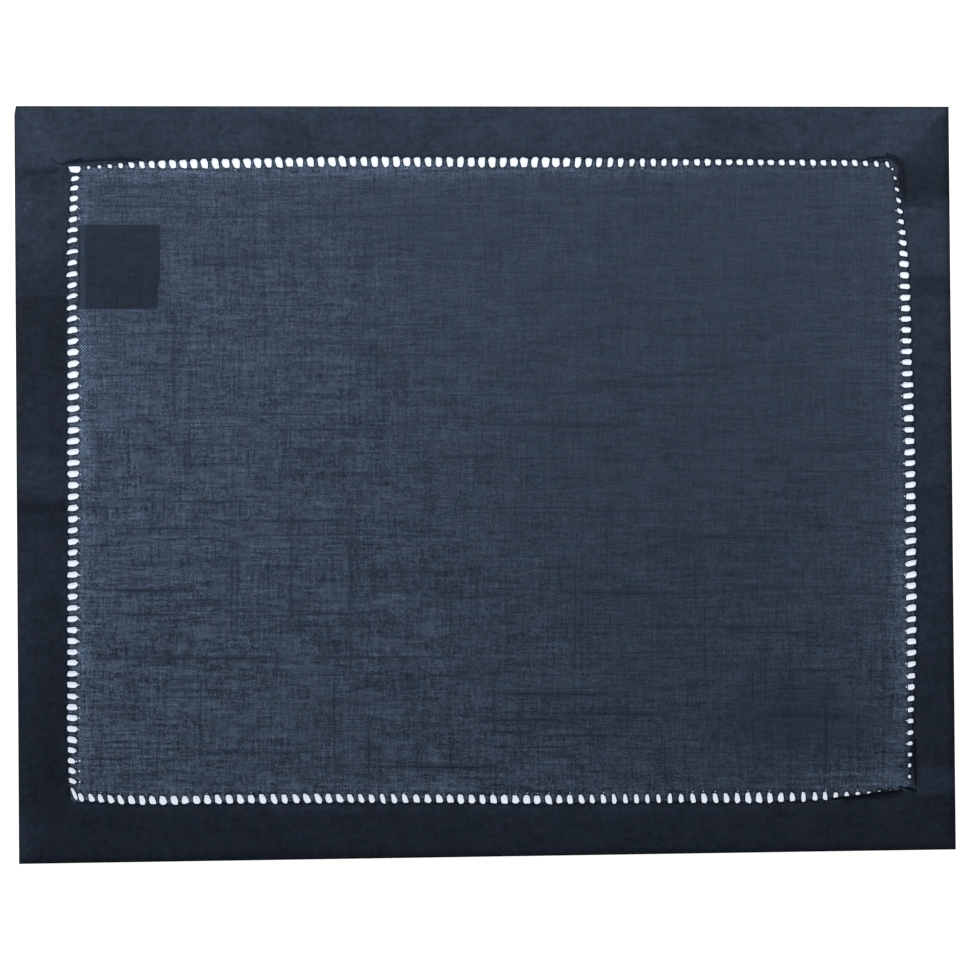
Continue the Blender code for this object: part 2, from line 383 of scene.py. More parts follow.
# %% Stitch line
STITCH_MARGIN = 0.6
FIELD_CORNERS = {
    "top": (Point(200.6, 156.2),),
    "right": (Point(208.6, -149.2),),
    "bottom": (Point(-201.4, -155.6), Point(-203.8, -150.0)),
    "left": (Point(-204.2, 156.6),),
}
INNER_CORNERS = (Point(-204.2, 156.6), Point(200.6, 156.2), Point(208.6, -149.2), Point(-203.8, -155.6))


def stitch_sides():
    """The stitch line of each side, from corner to corner, just outside that side's gaps."""
    sides = {}
    start = FIELD_CORNERS["left"][-1]
    for name, row in ROWS.items():
        line = [start]
        for here in row.sections:
            edge = here.line + row.outward * (here.across * (1 + UNEVEN_SIZE) / 2 + STITCH_MARGIN)
            line.append(Point(edge, here.at) if row.upright else Point(here.at, edge))
        line += FIELD_CORNERS[name]
        sides[name] = np.array(line, dtype=float)
        start = FIELD_CORNERS[name][-1]
    return sides


def along_line(line, shares):
    """Points at the given shares of a broken line's length."""
    steps = np.linalg.norm(np.diff(line, axis=0), axis=1)
    walked = np.concatenate([[0], np.cumsum(steps)]) / steps.sum()
    return np.stack([np.interp(shares, walked, line[:, axis]) for axis in (0, 1)], axis=1)


STITCH_SIDES = stitch_sides()
SIDE_LENGTHS = [math.dist(OUTLINE[n], OUTLINE[(n + 1) % len(OUTLINE)]) for n in range(len(OUTLINE))]


def stitch_ring():
    """The stitch line at the rings' shared stations, which pairs every ring point with one on it."""
    left_share = SIDE_LENGTHS[3] / (SIDE_LENGTHS[3] + SIDE_LENGTHS[4])
    spans = ((0, 1), (0, 1), (0, 1), (0, left_share), (left_share, 1))
    places = []
    for name, length, (low, high) in zip(SIDE_OF_CORNER, SIDE_LENGTHS, spans):
        shares = [low + (high - low) * share for share in stations(length)]
        places.append(along_line(STITCH_SIDES[name], shares))
    return np.concatenate(places)


LOOP_DENSITY = 11
STITCH_LOOP = np.concatenate([
    along_line(line, np.linspace(0, 1, len(line) * LOOP_DENSITY)[:-1]) for line in STITCH_SIDES.values()])
print("points of the stitch line:", len(STITCH_LOOP))

# %% [markdown]
# ## The front of the cloth, drawn flat
# The front needs 265 oval gaps, rows of needle holes and a few sharp lines in one sheet. The gaps could be
# a transparent pattern in the material, but real holes also look right from the side and from behind. A
# constrained triangulation cuts them all in one go: it keeps the loops that it is given as edges, and
# fills the rest with even triangles between free points. So the first step only collects points and
# loops, and with each point how far it stands off the cloth and how close the weave is there.

# %% Collect the points and loops
RIM_STEP = 0.38
GAP_SIDES, SMALL_GAP_SIDES = 16, 10
SMALL_GAP_AREA = 5.0
RAGGED = 0.07
RIPPLES = (2, 3, 5)
# TIGHT shrinks every gap by a hair. SHOULDER and SPIKE shape the pointed gaps down the left side, and
# BOW bends the ones beside the label.
TIGHT = -0.04
SHOULDER, SPIKE = 0.90, 1.16
BOW_FROM, BOW_TO, BOW = 75.0, 128.0, 0.55

spots = []
lifts = []
dense = []
loops = []


def add_spots(points, lift=0.0, density=0.0):
    """Adds free points of the front. lift is how far they stand off the smooth cloth, in mm, and density
    is how much closer the weave is there, for each point or for all."""
    first = len(spots)
    spots.extend((float(x), float(y)) for x, y in points)
    lifts.extend([lift] * (len(spots) - first))
    dense.extend(np.broadcast_to(density, len(spots) - first).tolist())
    return list(range(first, len(spots)))


def add_loop(points, kind, lift=0.0):
    """Adds a closed loop whose edges are kept. kind names what lies inside it."""
    points = np.asarray(points, dtype=float)
    following = np.roll(points, -1, axis=0)
    turn = (points[:, 0] * following[:, 1] - following[:, 0] * points[:, 1]).sum()
    loops.append((kind, add_spots(points if turn > 0 else points[::-1], lift)))


def gap_outline(gap, upright, grow=0.0, sides=GAP_SIDES):
    """A gap's rounded outline, its sides slanted by lean. Its raggedness is drawn from its own place.
    Down the left side the needle pulled the inner end of each gap to a point."""
    slant = math.tan(math.radians(gap.lean))
    ragged = random.Random(round(gap.x * 97 + gap.y * 31))
    ripples = [(count, ragged.uniform(0, 2 * math.pi), RAGGED * ragged.uniform(0.3, 1)) for count in RIPPLES]
    pointed = upright and gap.x < 0
    bowed = pointed and BOW_FROM < gap.y < BOW_TO
    outline = []
    for side in range(sides):
        angle = 2 * math.pi * (side + (0 if pointed else 0.5)) / sides
        cos, sin = math.cos(angle), math.sin(angle)
        pull = 1 + sum(size * math.sin(count * angle + phase) for count, phase, size in ripples)
        right = (gap.wide / 2 * pull + grow) * math.copysign(abs(cos) ** (2 / gap.power), cos)
        up = (gap.tall / 2 * pull + grow) * math.copysign(abs(sin) ** (2 / gap.power), sin)
        right *= 1 + gap.taper * up / (gap.tall / 2)
        if pointed and cos > 0.01:
            right *= SHOULDER if side else SPIKE
        if upright:
            arch = BOW * (1 - (2 * right / gap.wide) ** 2) - BOW / 2 if bowed else 0.0
            outline.append((gap.x + right, gap.y + up + slant * right + arch))
        else:
            outline.append((gap.x + right + slant * up, gap.y + up))
    return outline


print("corners of a large and of a small gap:", GAP_SIDES, SMALL_GAP_SIDES)

# %% [markdown]
# Each gap is a loop with a rim of points just outside it. The loop lies lower than the rim, and the
# middle of each bar a little higher, so the cloth rolls into the gap like bundled thread. Rounding the
# edge with a bevel would take many more faces for the same soft look.

# %% Gaps, rims and bars
EDGE_LIFT, RIM_LIFT, BAR_LIFT = -0.30, -0.12, 0.10
BAR_REACH = 0.35


def add_gap(gap, upright):
    """Cuts one gap, with a rim of points round it so that its edge can roll down like bundled thread."""
    sides = GAP_SIDES if gap.wide * gap.tall > SMALL_GAP_AREA else SMALL_GAP_SIDES
    add_loop(gap_outline(gap, upright, TIGHT, sides), "gap", EDGE_LIFT)
    add_spots(gap_outline(gap, upright, TIGHT + RIM_STEP, sides), RIM_LIFT)


for name, row in ROWS.items():
    for gap in GAPS[name]:
        add_gap(gap, row.upright)
    for one, other in zip(GAPS[name], GAPS[name][1:]):
        middle = np.array([one.x + other.x, one.y + other.y]) / 2
        length = min(one.wide, other.wide) if row.upright else min(one.tall, other.tall)
        reach = np.array([1, 0] if row.upright else [0, 1]) * length * BAR_REACH
        add_spots([middle + reach * k for k in (-1, 0, 1)], BAR_LIFT)
for gap in CORNER_GAPS:
    add_gap(gap, False)
print("points round the gaps:", len(spots))

# %% [markdown]
# Beside many gaps, on the side of the field, the needle has left a pinhole. They are widest down the
# left and right sides, and hardly show along the top and bottom. A small hole needs only six corners.

# %% Needle holes
NEEDLE_SEED = 3
Pricks = namedtuple("Pricks", "size off chance_of_one")
NEEDLE_ROWS = {
    "top": Pricks(0.22, 0.8, 0.15),
    "right": Pricks(0.32, 0.6, 0.8),
    "bottom": Pricks(0.22, 0.85, 0.35),
    "left": Pricks(0.30, 0.85, 0.5),
}
WIDE_PRICKS = (Point(-198.2, -135.0), Point(-198.4, -140.1), Point(-198.2, -145.3))
WIDE_PRICK = 0.42
PRICK_LIFT = -0.05
LABEL_TOP, LABEL_FOOT = 126.9, 85.6
# Beside the upper part of the label the left row shows none.
NO_PRICKS_FROM, NO_PRICKS_TO = 105.0, LABEL_TOP + 1


def six_round(x, y, wide, tall, start=0.0):
    """Six points round a place. start turns them by that share of a sixth."""
    angles = [math.pi * (k + start) / 3 for k in range(6)]
    return [(x + wide * math.cos(angle), y + tall * math.sin(angle)) for angle in angles]


needle_luck = random.Random(NEEDLE_SEED)
pinholes = 0
for name, row in ROWS.items():
    for gap in GAPS[name][2:-2]:
        size = NEEDLE_ROWS[name].size * needle_luck.uniform(0.7, 1.25)
        wanted = needle_luck.random() < NEEDLE_ROWS[name].chance_of_one
        drift = needle_luck.uniform(-0.4, 0.4)
        if not wanted or (name == "left" and NO_PRICKS_FROM < gap.y < NO_PRICKS_TO):
            continue
        if row.upright:
            x, y = gap.x - row.outward * (gap.wide / 2 + NEEDLE_ROWS[name].off), gap.y + drift
        else:
            x, y = gap.x + drift, gap.y - row.outward * (gap.tall / 2 + NEEDLE_ROWS[name].off)
        add_loop(six_round(x, y, size, size, 0.5), "gap", PRICK_LIFT)
        pinholes += 1
for x, y in WIDE_PRICKS:
    add_loop(six_round(x, y, WIDE_PRICK, WIDE_PRICK, 0.5), "gap", PRICK_LIFT)
print("needle holes:", pinholes + len(WIDE_PRICKS))

# %% [markdown]
# The label shows through from behind as a crisp dark square, with a paler strip at its left where it is
# a single layer. Its outline is kept as edges of the sheet, because a soft edge would look like a stain.
# Creases and mitres get five lines of points side by side, so that a soft ridge or trough can follow
# them. A sculpted or simulated crease would be softer, but it couldn't be put where the real one is.

# %% Label outline and creases
LABEL_SQUARE = ((-195.6, 126.8), (-158.8, 126.9), (-159.1, 98.0), (-160.0, 96.0), (-160.2, 85.9),
                (-195.6, 85.7))
LABEL_STRIP = ((-198.3, 126.7), (-195.6, 126.8), (-195.6, 85.7), (-198.3, 85.6))

# A crease rises or sinks by rise, in mm, over about wide to either side. Its tone paints its shade below 1,
# and painted light above 1.
Crease = namedtuple("Crease", "x1 y1 x2 y2 rise wide tone")
CREASES = (
    # the mitres, each from near its outer corner to the stitch line's corner
    Crease(-226.5, 182.3, -205.2, 157.6, 0.13, 1.1, 1.12),
    Crease(223.2, 182.0, 201.8, 157.4, 0.10, 1.1, 1.0),
    Crease(227.1, -175.2, 209.8, -150.4, 0.10, 1.1, 1.05),
    Crease(-224.8, -182.2, -204.9, -156.4, -0.13, 1.1, 1.0),
    # painted light in a paler band along the top left mitre
    Crease(-225.0, 181.0, -207.0, 160.0, 0.0, 6.0, 1.10),
    # fold marks pressed into the hem, with painted shade in their troughs and painted light on a ridge
    Crease(-227.0, 151.9, -205.7, 153.3, -0.20, 1.9, 0.62),
    Crease(-212.3, 160.0, -210.5, 156.9, -0.10, 0.9, 0.55),
    Crease(-211.5, 157.2, -203.3, 156.2, -0.12, 0.9, 0.50),
    Crease(-204.0, 156.6, -196.0, 159.4, -0.08, 1.1, 0.50),
    Crease(-206.0, 157.6, -196.0, 158.6, -0.06, 1.4, 0.45),
    Crease(-198.0, 158.8, -166.0, 159.8, -0.08, 1.2, 0.60),
    Crease(-227.0, -6.0, -206.5, -5.2, -0.12, 1.2, 0.9),
    Crease(-227.0, -14.5, -206.5, -13.6, -0.10, 1.2, 0.9),
    Crease(-227.0, 92.3, -206.5, 91.4, -0.08, 1.5, 0.9),
    Crease(201.5, 132.0, 225.6, 138.2, 0.14, 1.2, 1.25),
    Crease(209.8, 99.0, 226.6, 99.8, -0.12, 1.4, 0.85),
    Crease(212.0, -1.6, 227.6, -1.2, -0.10, 1.4, 0.85),
    # painted shade in the pinched cloth round the top right corner and under the lower right one
    Crease(197.0, 161.0, 203.5, 158.5, -0.06, 1.6, 0.55),
    Crease(203.2, 160.0, 205.2, 140.0, -0.06, 1.5, 0.50),
    Crease(172.0, -154.8, 206.0, -150.4, -0.08, 2.4, 0.35),
    Crease(209.6, -124.0, 209.9, -148.0, -0.06, 1.2, 0.60),
)

CREASE_STEP = 1.3
CREASE_LINES = (-1.0, -0.45, 0.0, 0.45, 1.0)
GAP_CLEAR = 0.9


def near_gap(x, y):
    """Whether a place is so close to a gap that a point there would spoil its rim."""
    return any(abs(x - gap.x) < gap.wide / 2 + GAP_CLEAR and abs(y - gap.y) < gap.tall / 2 + GAP_CLEAR
               for gaps in GAPS.values() for gap in gaps)


for points, kind in ((LABEL_SQUARE, "backed"), (LABEL_STRIP, "half_backed")):
    add_loop(points, kind)
for crease in CREASES:
    start, end = np.array(crease[:2]), np.array(crease[2:4])
    length = np.linalg.norm(end - start)
    along = (end - start) / length
    aside = np.array([-along[1], along[0]])
    for offset in CREASE_LINES:
        first = start + aside * offset * crease.wide
        line = [first + along * step for step in np.arange(0, length, CREASE_STEP)]
        add_spots([place for place in line if not near_gap(*place)])
print("creases:", len(CREASES))

# %% [markdown]
# Handling has rubbed the hem pale in a few small places, mostly near its outer fold. A noise would
# scatter such flecks anywhere, so each is placed: one point with six others round it, so that a number
# stored on the middle point fades out towards them.

# %% Flecks of rubbed yarn
# tall is how far a fleck reaches up and down, in mm, and pale how much of its dye is rubbed off.
Fleck = namedtuple("Fleck", "x y tall pale")
FLECK_WIDE = 0.75
FLECKS = (
    Fleck(-224.2, 91.8, 2.4, 1.0), Fleck(-224.2, 105.9, 1.2, 0.6), Fleck(-222.5, 101.1, 1.0, 0.5),
    Fleck(-221.1, 124.5, 0.9, 0.4), Fleck(-224.6, 133.8, 1.4, 0.7), Fleck(-223.5, 137.2, 1.0, 0.6),
    Fleck(-220.6, 75.2, 0.9, 0.4), Fleck(-218.1, 172.8, 0.9, 0.5), Fleck(-209.0, 171.9, 0.8, 0.4),
    Fleck(-203.1, 177.5, 0.8, 0.4), Fleck(-191.0, 170.2, 0.8, 0.4), Fleck(-180.8, 171.0, 0.8, 0.3),
    Fleck(-222.5, -123.5, 1.0, 0.5), Fleck(-220.1, -137.0, 0.9, 0.5), Fleck(-222.5, -141.6, 1.0, 0.5),
    Fleck(-222.5, -164.1, 1.0, 0.4), Fleck(-221.1, -167.7, 0.9, 0.4), Fleck(-224.5, -173.6, 1.0, 0.5),
    Fleck(-207.1, -157.7, 0.8, 0.4), Fleck(-193.7, -178.2, 0.8, 0.4), Fleck(221.3, 80.2, 1.0, 0.5),
    Fleck(217.4, 169.4, 0.9, 0.4), Fleck(216.9, 176.3, 0.9, 0.4),
)
fleck_spots = []
for fleck in FLECKS:
    fleck_spots += add_spots([(fleck.x, fleck.y)])
    add_spots(six_round(fleck.x, fleck.y, FLECK_WIDE, fleck.tall))
print("flecks:", len(FLECKS))

# %% [markdown]
# A slub is a stretch of yarn that was spun thicker. It makes a dark streak in sheer cloth, and the weave
# is closer beside it, which gives the streak a soft border. A stretched noise could give streaks, but not
# with their clean ends and their own places. So the plain slubs are listed one by one.

# %% Table of slubs
# Each slub across the mat is (y, x from, x to), and each slub up it is (x, y from, y to).
THICK_ACROSS = (
    (131.1, -125, -27), (117.9, -3, 29), (73.5, 83, 129), (48.1, 41, 105), (29.1, 3, 76),
    (19.8, 149, 198), (17.3, 149, 198), (13.4, -24, 2), (-17.8, -112, -66), (-25.6, 83, 150),
    (-42.7, -65, -15), (-51.5, -194, -139), (-53, 37, 93), (-84.7, -192, -98), (-102.3, -3, 61),
    (-112.1, 34, 90), (-112.5, 135, 178), (-115, -3, 37), (-137.9, -55, 7),
)
THIN_ACROSS = (
    (145.7, -194, -137), (136, -193, -139), (136, -55, -14), (130.6, -165, -90), (131.6, -51, -7),
    (117.9, -28, 46), (110.6, -142, -97), (110.1, -28, 7), (110.1, 161, 198), (103.8, -3, 37),
    (95.5, 19, 71), (89.1, 34, 56), (123.3, 67, 115), (139.4, 103, 138), (148.2, 149, 198),
    (136, 149, 186), (97.4, 102, 134), (99.4, 134, 174), (87.2, -114, -88), (77.9, -81, -33),
    (75.4, 10, 66), (74.9, 140, 198), (73.5, -192, -131), (69.1, -98, -58), (69.1, 3, 46),
    (65.2, 100, 144), (63.2, -58, -9), (58.3, -176, -130), (53.5, -198, -155), (53, 66, 115),
    (38.8, 61, 115), (34.4, -115, -60), (27.1, -97, -37), (24.7, 73, 84), (19.3, -183, -112),
    (12.9, -3, 40), (12, 56, 79), (10, -149, -103), (6.6, 132, 198), (-8.5, -177, -122),
    (-11.5, 0, 56), (-12.9, 58, 98), (-21.7, -177, -132), (-22.2, 120, 150), (-24.7, -120, -27),
    (-30, -198, -177), (-40.3, 22, 49), (-51.5, -65, -21), (-53, 168, 203), (-54.9, -22, 7),
    (-56.4, -169, -120), (-59.3, -169, -120), (-63.2, -192, -144), (-63.2, -100, -63),
    (-68.1, 32, 77), (-69.1, -104, -50), (-69.6, 77, 149), (-72, 123, 164), (-84.2, -85, -17),
    (-90.6, 147, 177), (-104.2, -178, -125), (-120.8, -3, 29), (-122.8, 27, 66), (-125.7, -188, -171),
    (-128.2, 3, 44), (-131.1, -141, -81), (-134, -198, -173),
)
THICK_UP = (
    (-152, 29, 87), (117.1, 53, 80), (-66, -88, 0), (-123.6, -76, -26), (-121.2, -76, -26),
    (-56.8, -144, -113), (166.4, -145, -100),
)
THIN_UP = (
    (-175.4, 122, 149), (-144.2, 6, 61), (-94.4, 78, 124), (-61.6, 57, 107), (-39.2, 31, 78),
    (-28.4, 127, 151), (64.3, 71, 116), (74.1, 117, 151), (154.2, 36, 61), (159, 2, 57),
    (165.9, 23, 57), (196.2, 49, 90), (-94.8, -81, 2), (-4, -66, -47), (-91.9, -122, -108),
    (-82.1, -143, -105), (-73.8, -149, -94), (-160.3, -150, -122), (-139.3, -127, -94),
    (-17.2, -81, -47), (10.1, -91, -39), (43.8, -95, -39), (47.2, -95, -39), (59, -52, -9),
    (72.6, -47, -22), (102.4, -61, -27), (107.3, -105, -42), (130.2, -115, -83),
    (136.6, -103, -69), (148.8, -110, -71), (148.8, -144, -115), (87.3, -150, -122),
    (193.7, -100, -61),
)
print("slubs across and up:", len(THICK_ACROSS + THIN_ACROSS), len(THICK_UP + THIN_UP))

# %% [markdown]
# A seeded draw scatters short faint slubs between the placed ones. Each slub wanders a little and thins
# out at its ends. Each placed one gets three or five lines of points, for the closer weave beside it.

# %% Lines of the slubs
SLUB_SEED = 11
THICK_MM, THIN_MM, FAINT_MM = 0.66, 0.44, 0.28
UPRIGHT_FINER = 0.8
SWING_MM, SWING_OVER = 0.22, 13
FAINT_COUNT = 260
FAINT_UPRIGHT = 0.35
SLUB_STEP = 3.0
SLUB_BORDER = 1.0

Slub = namedtuple("Slub", "upright line start end width")
slub_luck = random.Random(SLUB_SEED)
slubs = [Slub(upright, *slub, width) for upright, table, width in (
    (False, THICK_ACROSS, THICK_MM), (False, THIN_ACROSS, THIN_MM),
    (True, THICK_UP, THICK_MM * UPRIGHT_FINER), (True, THIN_UP, THIN_MM * UPRIGHT_FINER))
    for slub in table]
placed = len(slubs)
for _ in range(FAINT_COUNT):
    upright = slub_luck.random() < FAINT_UPRIGHT
    length = slub_luck.uniform(7, 34)
    line = slub_luck.uniform(-150, 150) * (1.25 if upright else 0.98)
    start = slub_luck.uniform(-148, 146 - length) * (0.98 if upright else 1.3)
    slubs.append(Slub(upright, line, start, start + length, FAINT_MM * slub_luck.uniform(0.8, 1.3)))


def slub_path(slub):
    """A slub's wandering line over the cloth, and how thick it is at each step of it."""
    steps = max(4, round((slub.end - slub.start) / SLUB_STEP))
    share = np.linspace(0, 1, steps + 1)
    along = slub.start + (slub.end - slub.start) * share
    swing, drift = slub_luck.uniform(0, 6.28), slub_luck.uniform(-0.25, 0.25)
    aside = slub.line + SWING_MM * np.sin(along / SWING_OVER + swing) + drift * (share - 0.5) * 2
    lumps = np.array([slub_luck.uniform(0.55, 1.2) for _ in share])
    width = slub.width * lumps * (0.12 + 0.88 * np.sin(math.pi * share) ** 0.6)
    return np.stack([aside, along] if slub.upright else [along, aside], axis=1), width


paths = [slub_path(slub) for slub in slubs]
for slub, (xy, width) in zip(slubs[:placed], paths):
    aside = np.array([SLUB_BORDER, 0] if slub.upright else [0, SLUB_BORDER])
    reach = 2 if slub.width > THIN_MM else 1
    for offset in range(-reach, reach + 1):
        add_spots(xy + aside * offset, 0.0, width / THICK_MM * (1 - abs(offset) / reach))
print("slubs:", placed, "placed and", FAINT_COUNT, "faint")

# %% [markdown]
# The rest of the front is filled with free points. They lie on a grid whose every other row is shifted,
# which makes nearly equal triangles. The grid is fine beside the gaps, where the cloth is bundled, and
# coarse in the middle of the mat, where it only has to follow the long waves.

# %% Outer ring, stitch line and free points
FOLD_RADIUS = 0.9
FINE, COARSE, FINE_BAND, CLEAR = 1.15, 2.3, 5.4, 0.62
EDGE_CLEAR = 0.8
EVEN_ROWS = 0.87

EDGE_RING = ring(FOLD_RADIUS)
add_loop(STITCH_LOOP, "field")
loops.insert(0, ("front", add_spots(EDGE_RING[::-1])))


def away_from(points, line):
    """The distance of each point from a closed broken line, and whether it is inside it."""
    nearest = np.full(len(points), 1e9)
    inside = np.zeros(len(points), dtype=bool)
    for (x1, y1), (x2, y2) in zip(line, np.roll(line, -1, axis=0)):
        run = np.array([x2 - x1, y2 - y1])
        share = np.clip(((points - (x1, y1)) @ run) / (run @ run), 0, 1)
        nearest = np.minimum(nearest, np.linalg.norm(points - (x1, y1) - share[:, None] * run, axis=1))
        crosses = (points[:, 1] < y1) != (points[:, 1] < y2)
        with np.errstate(divide="ignore", invalid="ignore"):
            inside ^= crosses & (points[:, 0] < x1 + (points[:, 1] - y1) * run[0] / run[1])
    return nearest, inside


def free_grid(step):
    """An even grid of points over the whole mat, every other row shifted by half a step."""
    low, high = EDGE_RING.min(axis=0), EDGE_RING.max(axis=0)
    rows = np.arange(low[1], high[1], step * EVEN_ROWS)
    across = np.arange(low[0], high[0], step)
    return np.concatenate([
        np.stack([across + (number % 2) * step / 2, np.full_like(across, y)], axis=1)
        for number, y in enumerate(rows)])


def add_free_points(step, wanted):
    """Adds the grid points that pass a test and have no other point close by."""
    grid = free_grid(step)
    to_edge, inside = away_from(grid, EDGE_RING)
    grid = grid[inside & (to_edge > EDGE_CLEAR)]
    grid = grid[wanted(grid)]
    cell = step * CLEAR
    taken = {(round(x / cell), round(y / cell)) for x, y in spots}
    free = []
    for x, y in grid:
        i, j = round(x / cell), round(y / cell)
        if not any((i + a, j + b) in taken for a in (-1, 0, 1) for b in (-1, 0, 1)):
            free.append((x, y))
    add_spots(free)
    return len(free)


STITCH_RING = stitch_ring()
GAP_LINE = np.concatenate([along_line(np.array(
    [(here.line, here.at) if row.upright else (here.at, here.line) for here in row.sections]),
    np.linspace(0, 1, 30)) for row in ROWS.values()])
beside = add_free_points(FINE, lambda grid: away_from(grid, GAP_LINE)[0] < FINE_BAND)
elsewhere = add_free_points(COARSE, lambda grid: away_from(grid, GAP_LINE)[0] >= FINE_BAND)
print("free points:", beside, "beside the gaps and", elsewhere, "elsewhere")

# %% [markdown]
# Now the triangulation runs. It says which loops each triangle lies in, so the gaps are left out, and
# every other triangle is known as hem, field or a place with the label behind it.

# %% Triangulate
ALL_TRIANGLES = 0
WELD_MM = 1e-5
flat, _, triangles, from_spots, _, from_loops = delaunay_2d_cdt(
    [Vector(spot) for spot in spots], [], [indexes for _, indexes in loops], ALL_TRIANGLES, WELD_MM, True)
kinds = [kind for kind, _ in loops]
front_faces = []
face_kinds = []
for corners, inside_of in zip(triangles, from_loops):
    held_by = {kinds[number] for number in inside_of}
    if "front" in held_by and "gap" not in held_by:
        front_faces.append(list(corners))
        face_kinds.append(
            "half_backed" if "half_backed" in held_by else
            "backed" if "backed" in held_by else
            "field" if "field" in held_by else "hem")
front_xy = np.array([tuple(point) for point in flat])
front_lift = np.array([lifts[known[0]] if known else 0.0 for known in from_spots])
front_dense = np.array([dense[known[0]] if known else 0.0 for known in from_spots])
place_of = {known: number for number, from_ in enumerate(from_spots) for known in from_}
fleck_places = [place_of[index] for index in fleck_spots]
print("front triangles:", len(front_faces), {kind: face_kinds.count(kind) for kind in set(face_kinds)})

# %% [markdown]
# ## Giving the cloth its height
# The hem is folded double, and treble at its turned-in edge, so it stands a little above the field and
# sinks where the stitches pull it tight. The field is a single layer that hangs from the hem, and long
# low waves keep it from looking like a board. A cloth simulation would move the hemstitch rows off their
# places, so the height is a sum of simple shapes. Creases are ridges or troughs with a bell section.

# %% Height of the front
BACK_LEVEL = 0.22
FOLD_LEVEL = 2.0
HEM_LEVEL = 2.22
STITCH_LEVEL = 1.62
FIELD_LEVEL = 1.78
EDGE_SLOPE, STITCH_SLOPE, FIELD_SLOPE, WAVE_SLOPE = 4.0, 3.2, 9.0, 12.0
HEM_LOOSE, HEM_SLOPE = 0.45, 3.0

Wave = namedtuple("Wave", "length turn shift rise")
WAVES = (
    Wave(143.0, 24, 0.3, 0.09),
    Wave(88.0, 101, 1.9, 0.06),
    Wave(57.0, 62, 4.0, 0.045),
    Wave(31.0, 152, 2.2, 0.025),
)


def soft(share):
    """A share from 0 to 1 with soft ends."""
    share = np.clip(share, 0, 1)
    return share * share * (3 - 2 * share)


def waves(xy):
    """The long low waves of cloth that has been folded and ironed."""
    height = np.zeros(len(xy))
    for wave in WAVES:
        turn = math.radians(wave.turn)
        along = xy @ np.array([math.cos(turn), math.sin(turn)])
        height += wave.rise * np.sin(2 * math.pi * along / wave.length + wave.shift)
    return height


def in_crease(xy, crease):
    """1 along the middle of a crease, and 0 beside it and beyond its ends."""
    start, end = np.array(crease[:2]), np.array(crease[2:4])
    run = end - start
    share = ((xy - start) @ run) / (run @ run)
    off = np.abs((xy - start) @ np.array([-run[1], run[0]])) / np.linalg.norm(run)
    # each end fades in over a sixth of the length
    ends = soft(share * 6) * soft((1 - share) * 6)
    return ends * np.exp(-(off / crease.wide) ** 2 * 2)


def front_height(xy):
    """The level of the front of the cloth at each point, in mm above the table."""
    to_edge, _ = away_from(xy, EDGE_RING)
    to_stitch, in_field = away_from(xy, STITCH_LOOP)
    hem = FOLD_LEVEL + (HEM_LEVEL - FOLD_LEVEL) * soft(to_edge / EDGE_SLOPE)
    hem += (STITCH_LEVEL - HEM_LEVEL) * soft(1 - to_stitch / STITCH_SLOPE)
    field = STITCH_LEVEL + (FIELD_LEVEL - STITCH_LEVEL) * soft(to_stitch / FIELD_SLOPE)
    hem_loose = HEM_LOOSE * soft(to_edge / HEM_SLOPE) * soft(to_stitch / HEM_SLOPE)
    loose = np.where(in_field, soft(to_stitch / WAVE_SLOPE), hem_loose)
    level = np.where(in_field, field, hem) + waves(xy) * loose
    return level + sum(crease.rise * in_crease(xy, crease) for crease in CREASES)


front_z = front_height(front_xy) + front_lift
print("front height, mm:", round(front_z.min(), 2), "to", round(front_z.max(), 2))

# %% [markdown]
# ## Folding the hem
# From the outer edge of the front the same cloth turns round the fold, runs back under the hem to the
# stitch line, turns up there and ends hidden inside. Each step is one more ring of the same number of
# points, so the whole fold is a strip of quads sewn onto the edge of the front. Beside a mitre the back
# layer is lifted into a groove, where the two sides meet in a seam.

# %% Rings of the fold and the back
FOLD_STEPS = 7
BACK_STEPS = 9
TURN_IN, TURN_LEVEL = 8.0, 0.85
# Each ring of the turned-in edge: how far inside the hem's end it lies, negative is back under the hem.
TURN_RINGS = ((0.28, 0.38), (0.28, 0.68), (0.0, TURN_LEVEL), (-2.7, TURN_LEVEL), (-5.4, TURN_LEVEL),
              (-TURN_IN, TURN_LEVEL))
HEM_SHORT = 0.45
SEAM_GROOVE = 0.42
SEAM_WIDE = 0.9
BACK_LOOSE, WAVE_MOST = 0.10, 0.25

rim_top = np.array([front_z[place_of[index]] for index in loops[0][1]])[::-1]
outer_corners = [int(np.argmin(np.linalg.norm(ring(0) - np.array(corner), axis=1)))
                 for corner in OUTLINE[:4]]


def beside_mitre(points):
    """How close each ring point is to a mitre: 1 on it and 0 a seam's width away."""
    near = np.zeros(len(points))
    for corner in outer_corners:
        off = np.linalg.norm(points - points[corner], axis=1)
        near = np.maximum(near, np.exp(-(off / SEAM_WIDE) ** 2))
    return near


inward = STITCH_RING - EDGE_RING
inward /= np.linalg.norm(inward, axis=1)[:, None]
HEM_END = STITCH_RING - inward * HEM_SHORT
rings = []
for step in range(1, FOLD_STEPS + 1):
    angle = math.pi * step / FOLD_STEPS
    height = (rim_top + BACK_LEVEL) / 2 + (rim_top - BACK_LEVEL) / 2 * math.cos(angle)
    rings.append((ring(FOLD_RADIUS * (1 - math.sin(angle))), height))
for step in range(1, BACK_STEPS + 1):
    share = step / BACK_STEPS
    points = EDGE_RING + (HEM_END - EDGE_RING) * share
    # away from the fold the back is a little loose and follows the waves
    loose = BACK_LOOSE * soft(share * 4) * (1 + waves(points) / WAVE_MOST) * 0.5
    level = BACK_LEVEL + loose
    rings.append((points, level + SEAM_GROOVE * beside_mitre(points) * soft(share * 5)))
for off, level in TURN_RINGS:
    points = HEM_END + inward * off
    rings.append((points, np.full(len(points), level) + SEAM_GROOVE * 0.5 * beside_mitre(points)))
print("rings under the hem:", len(rings), "of", len(EDGE_RING), "points")

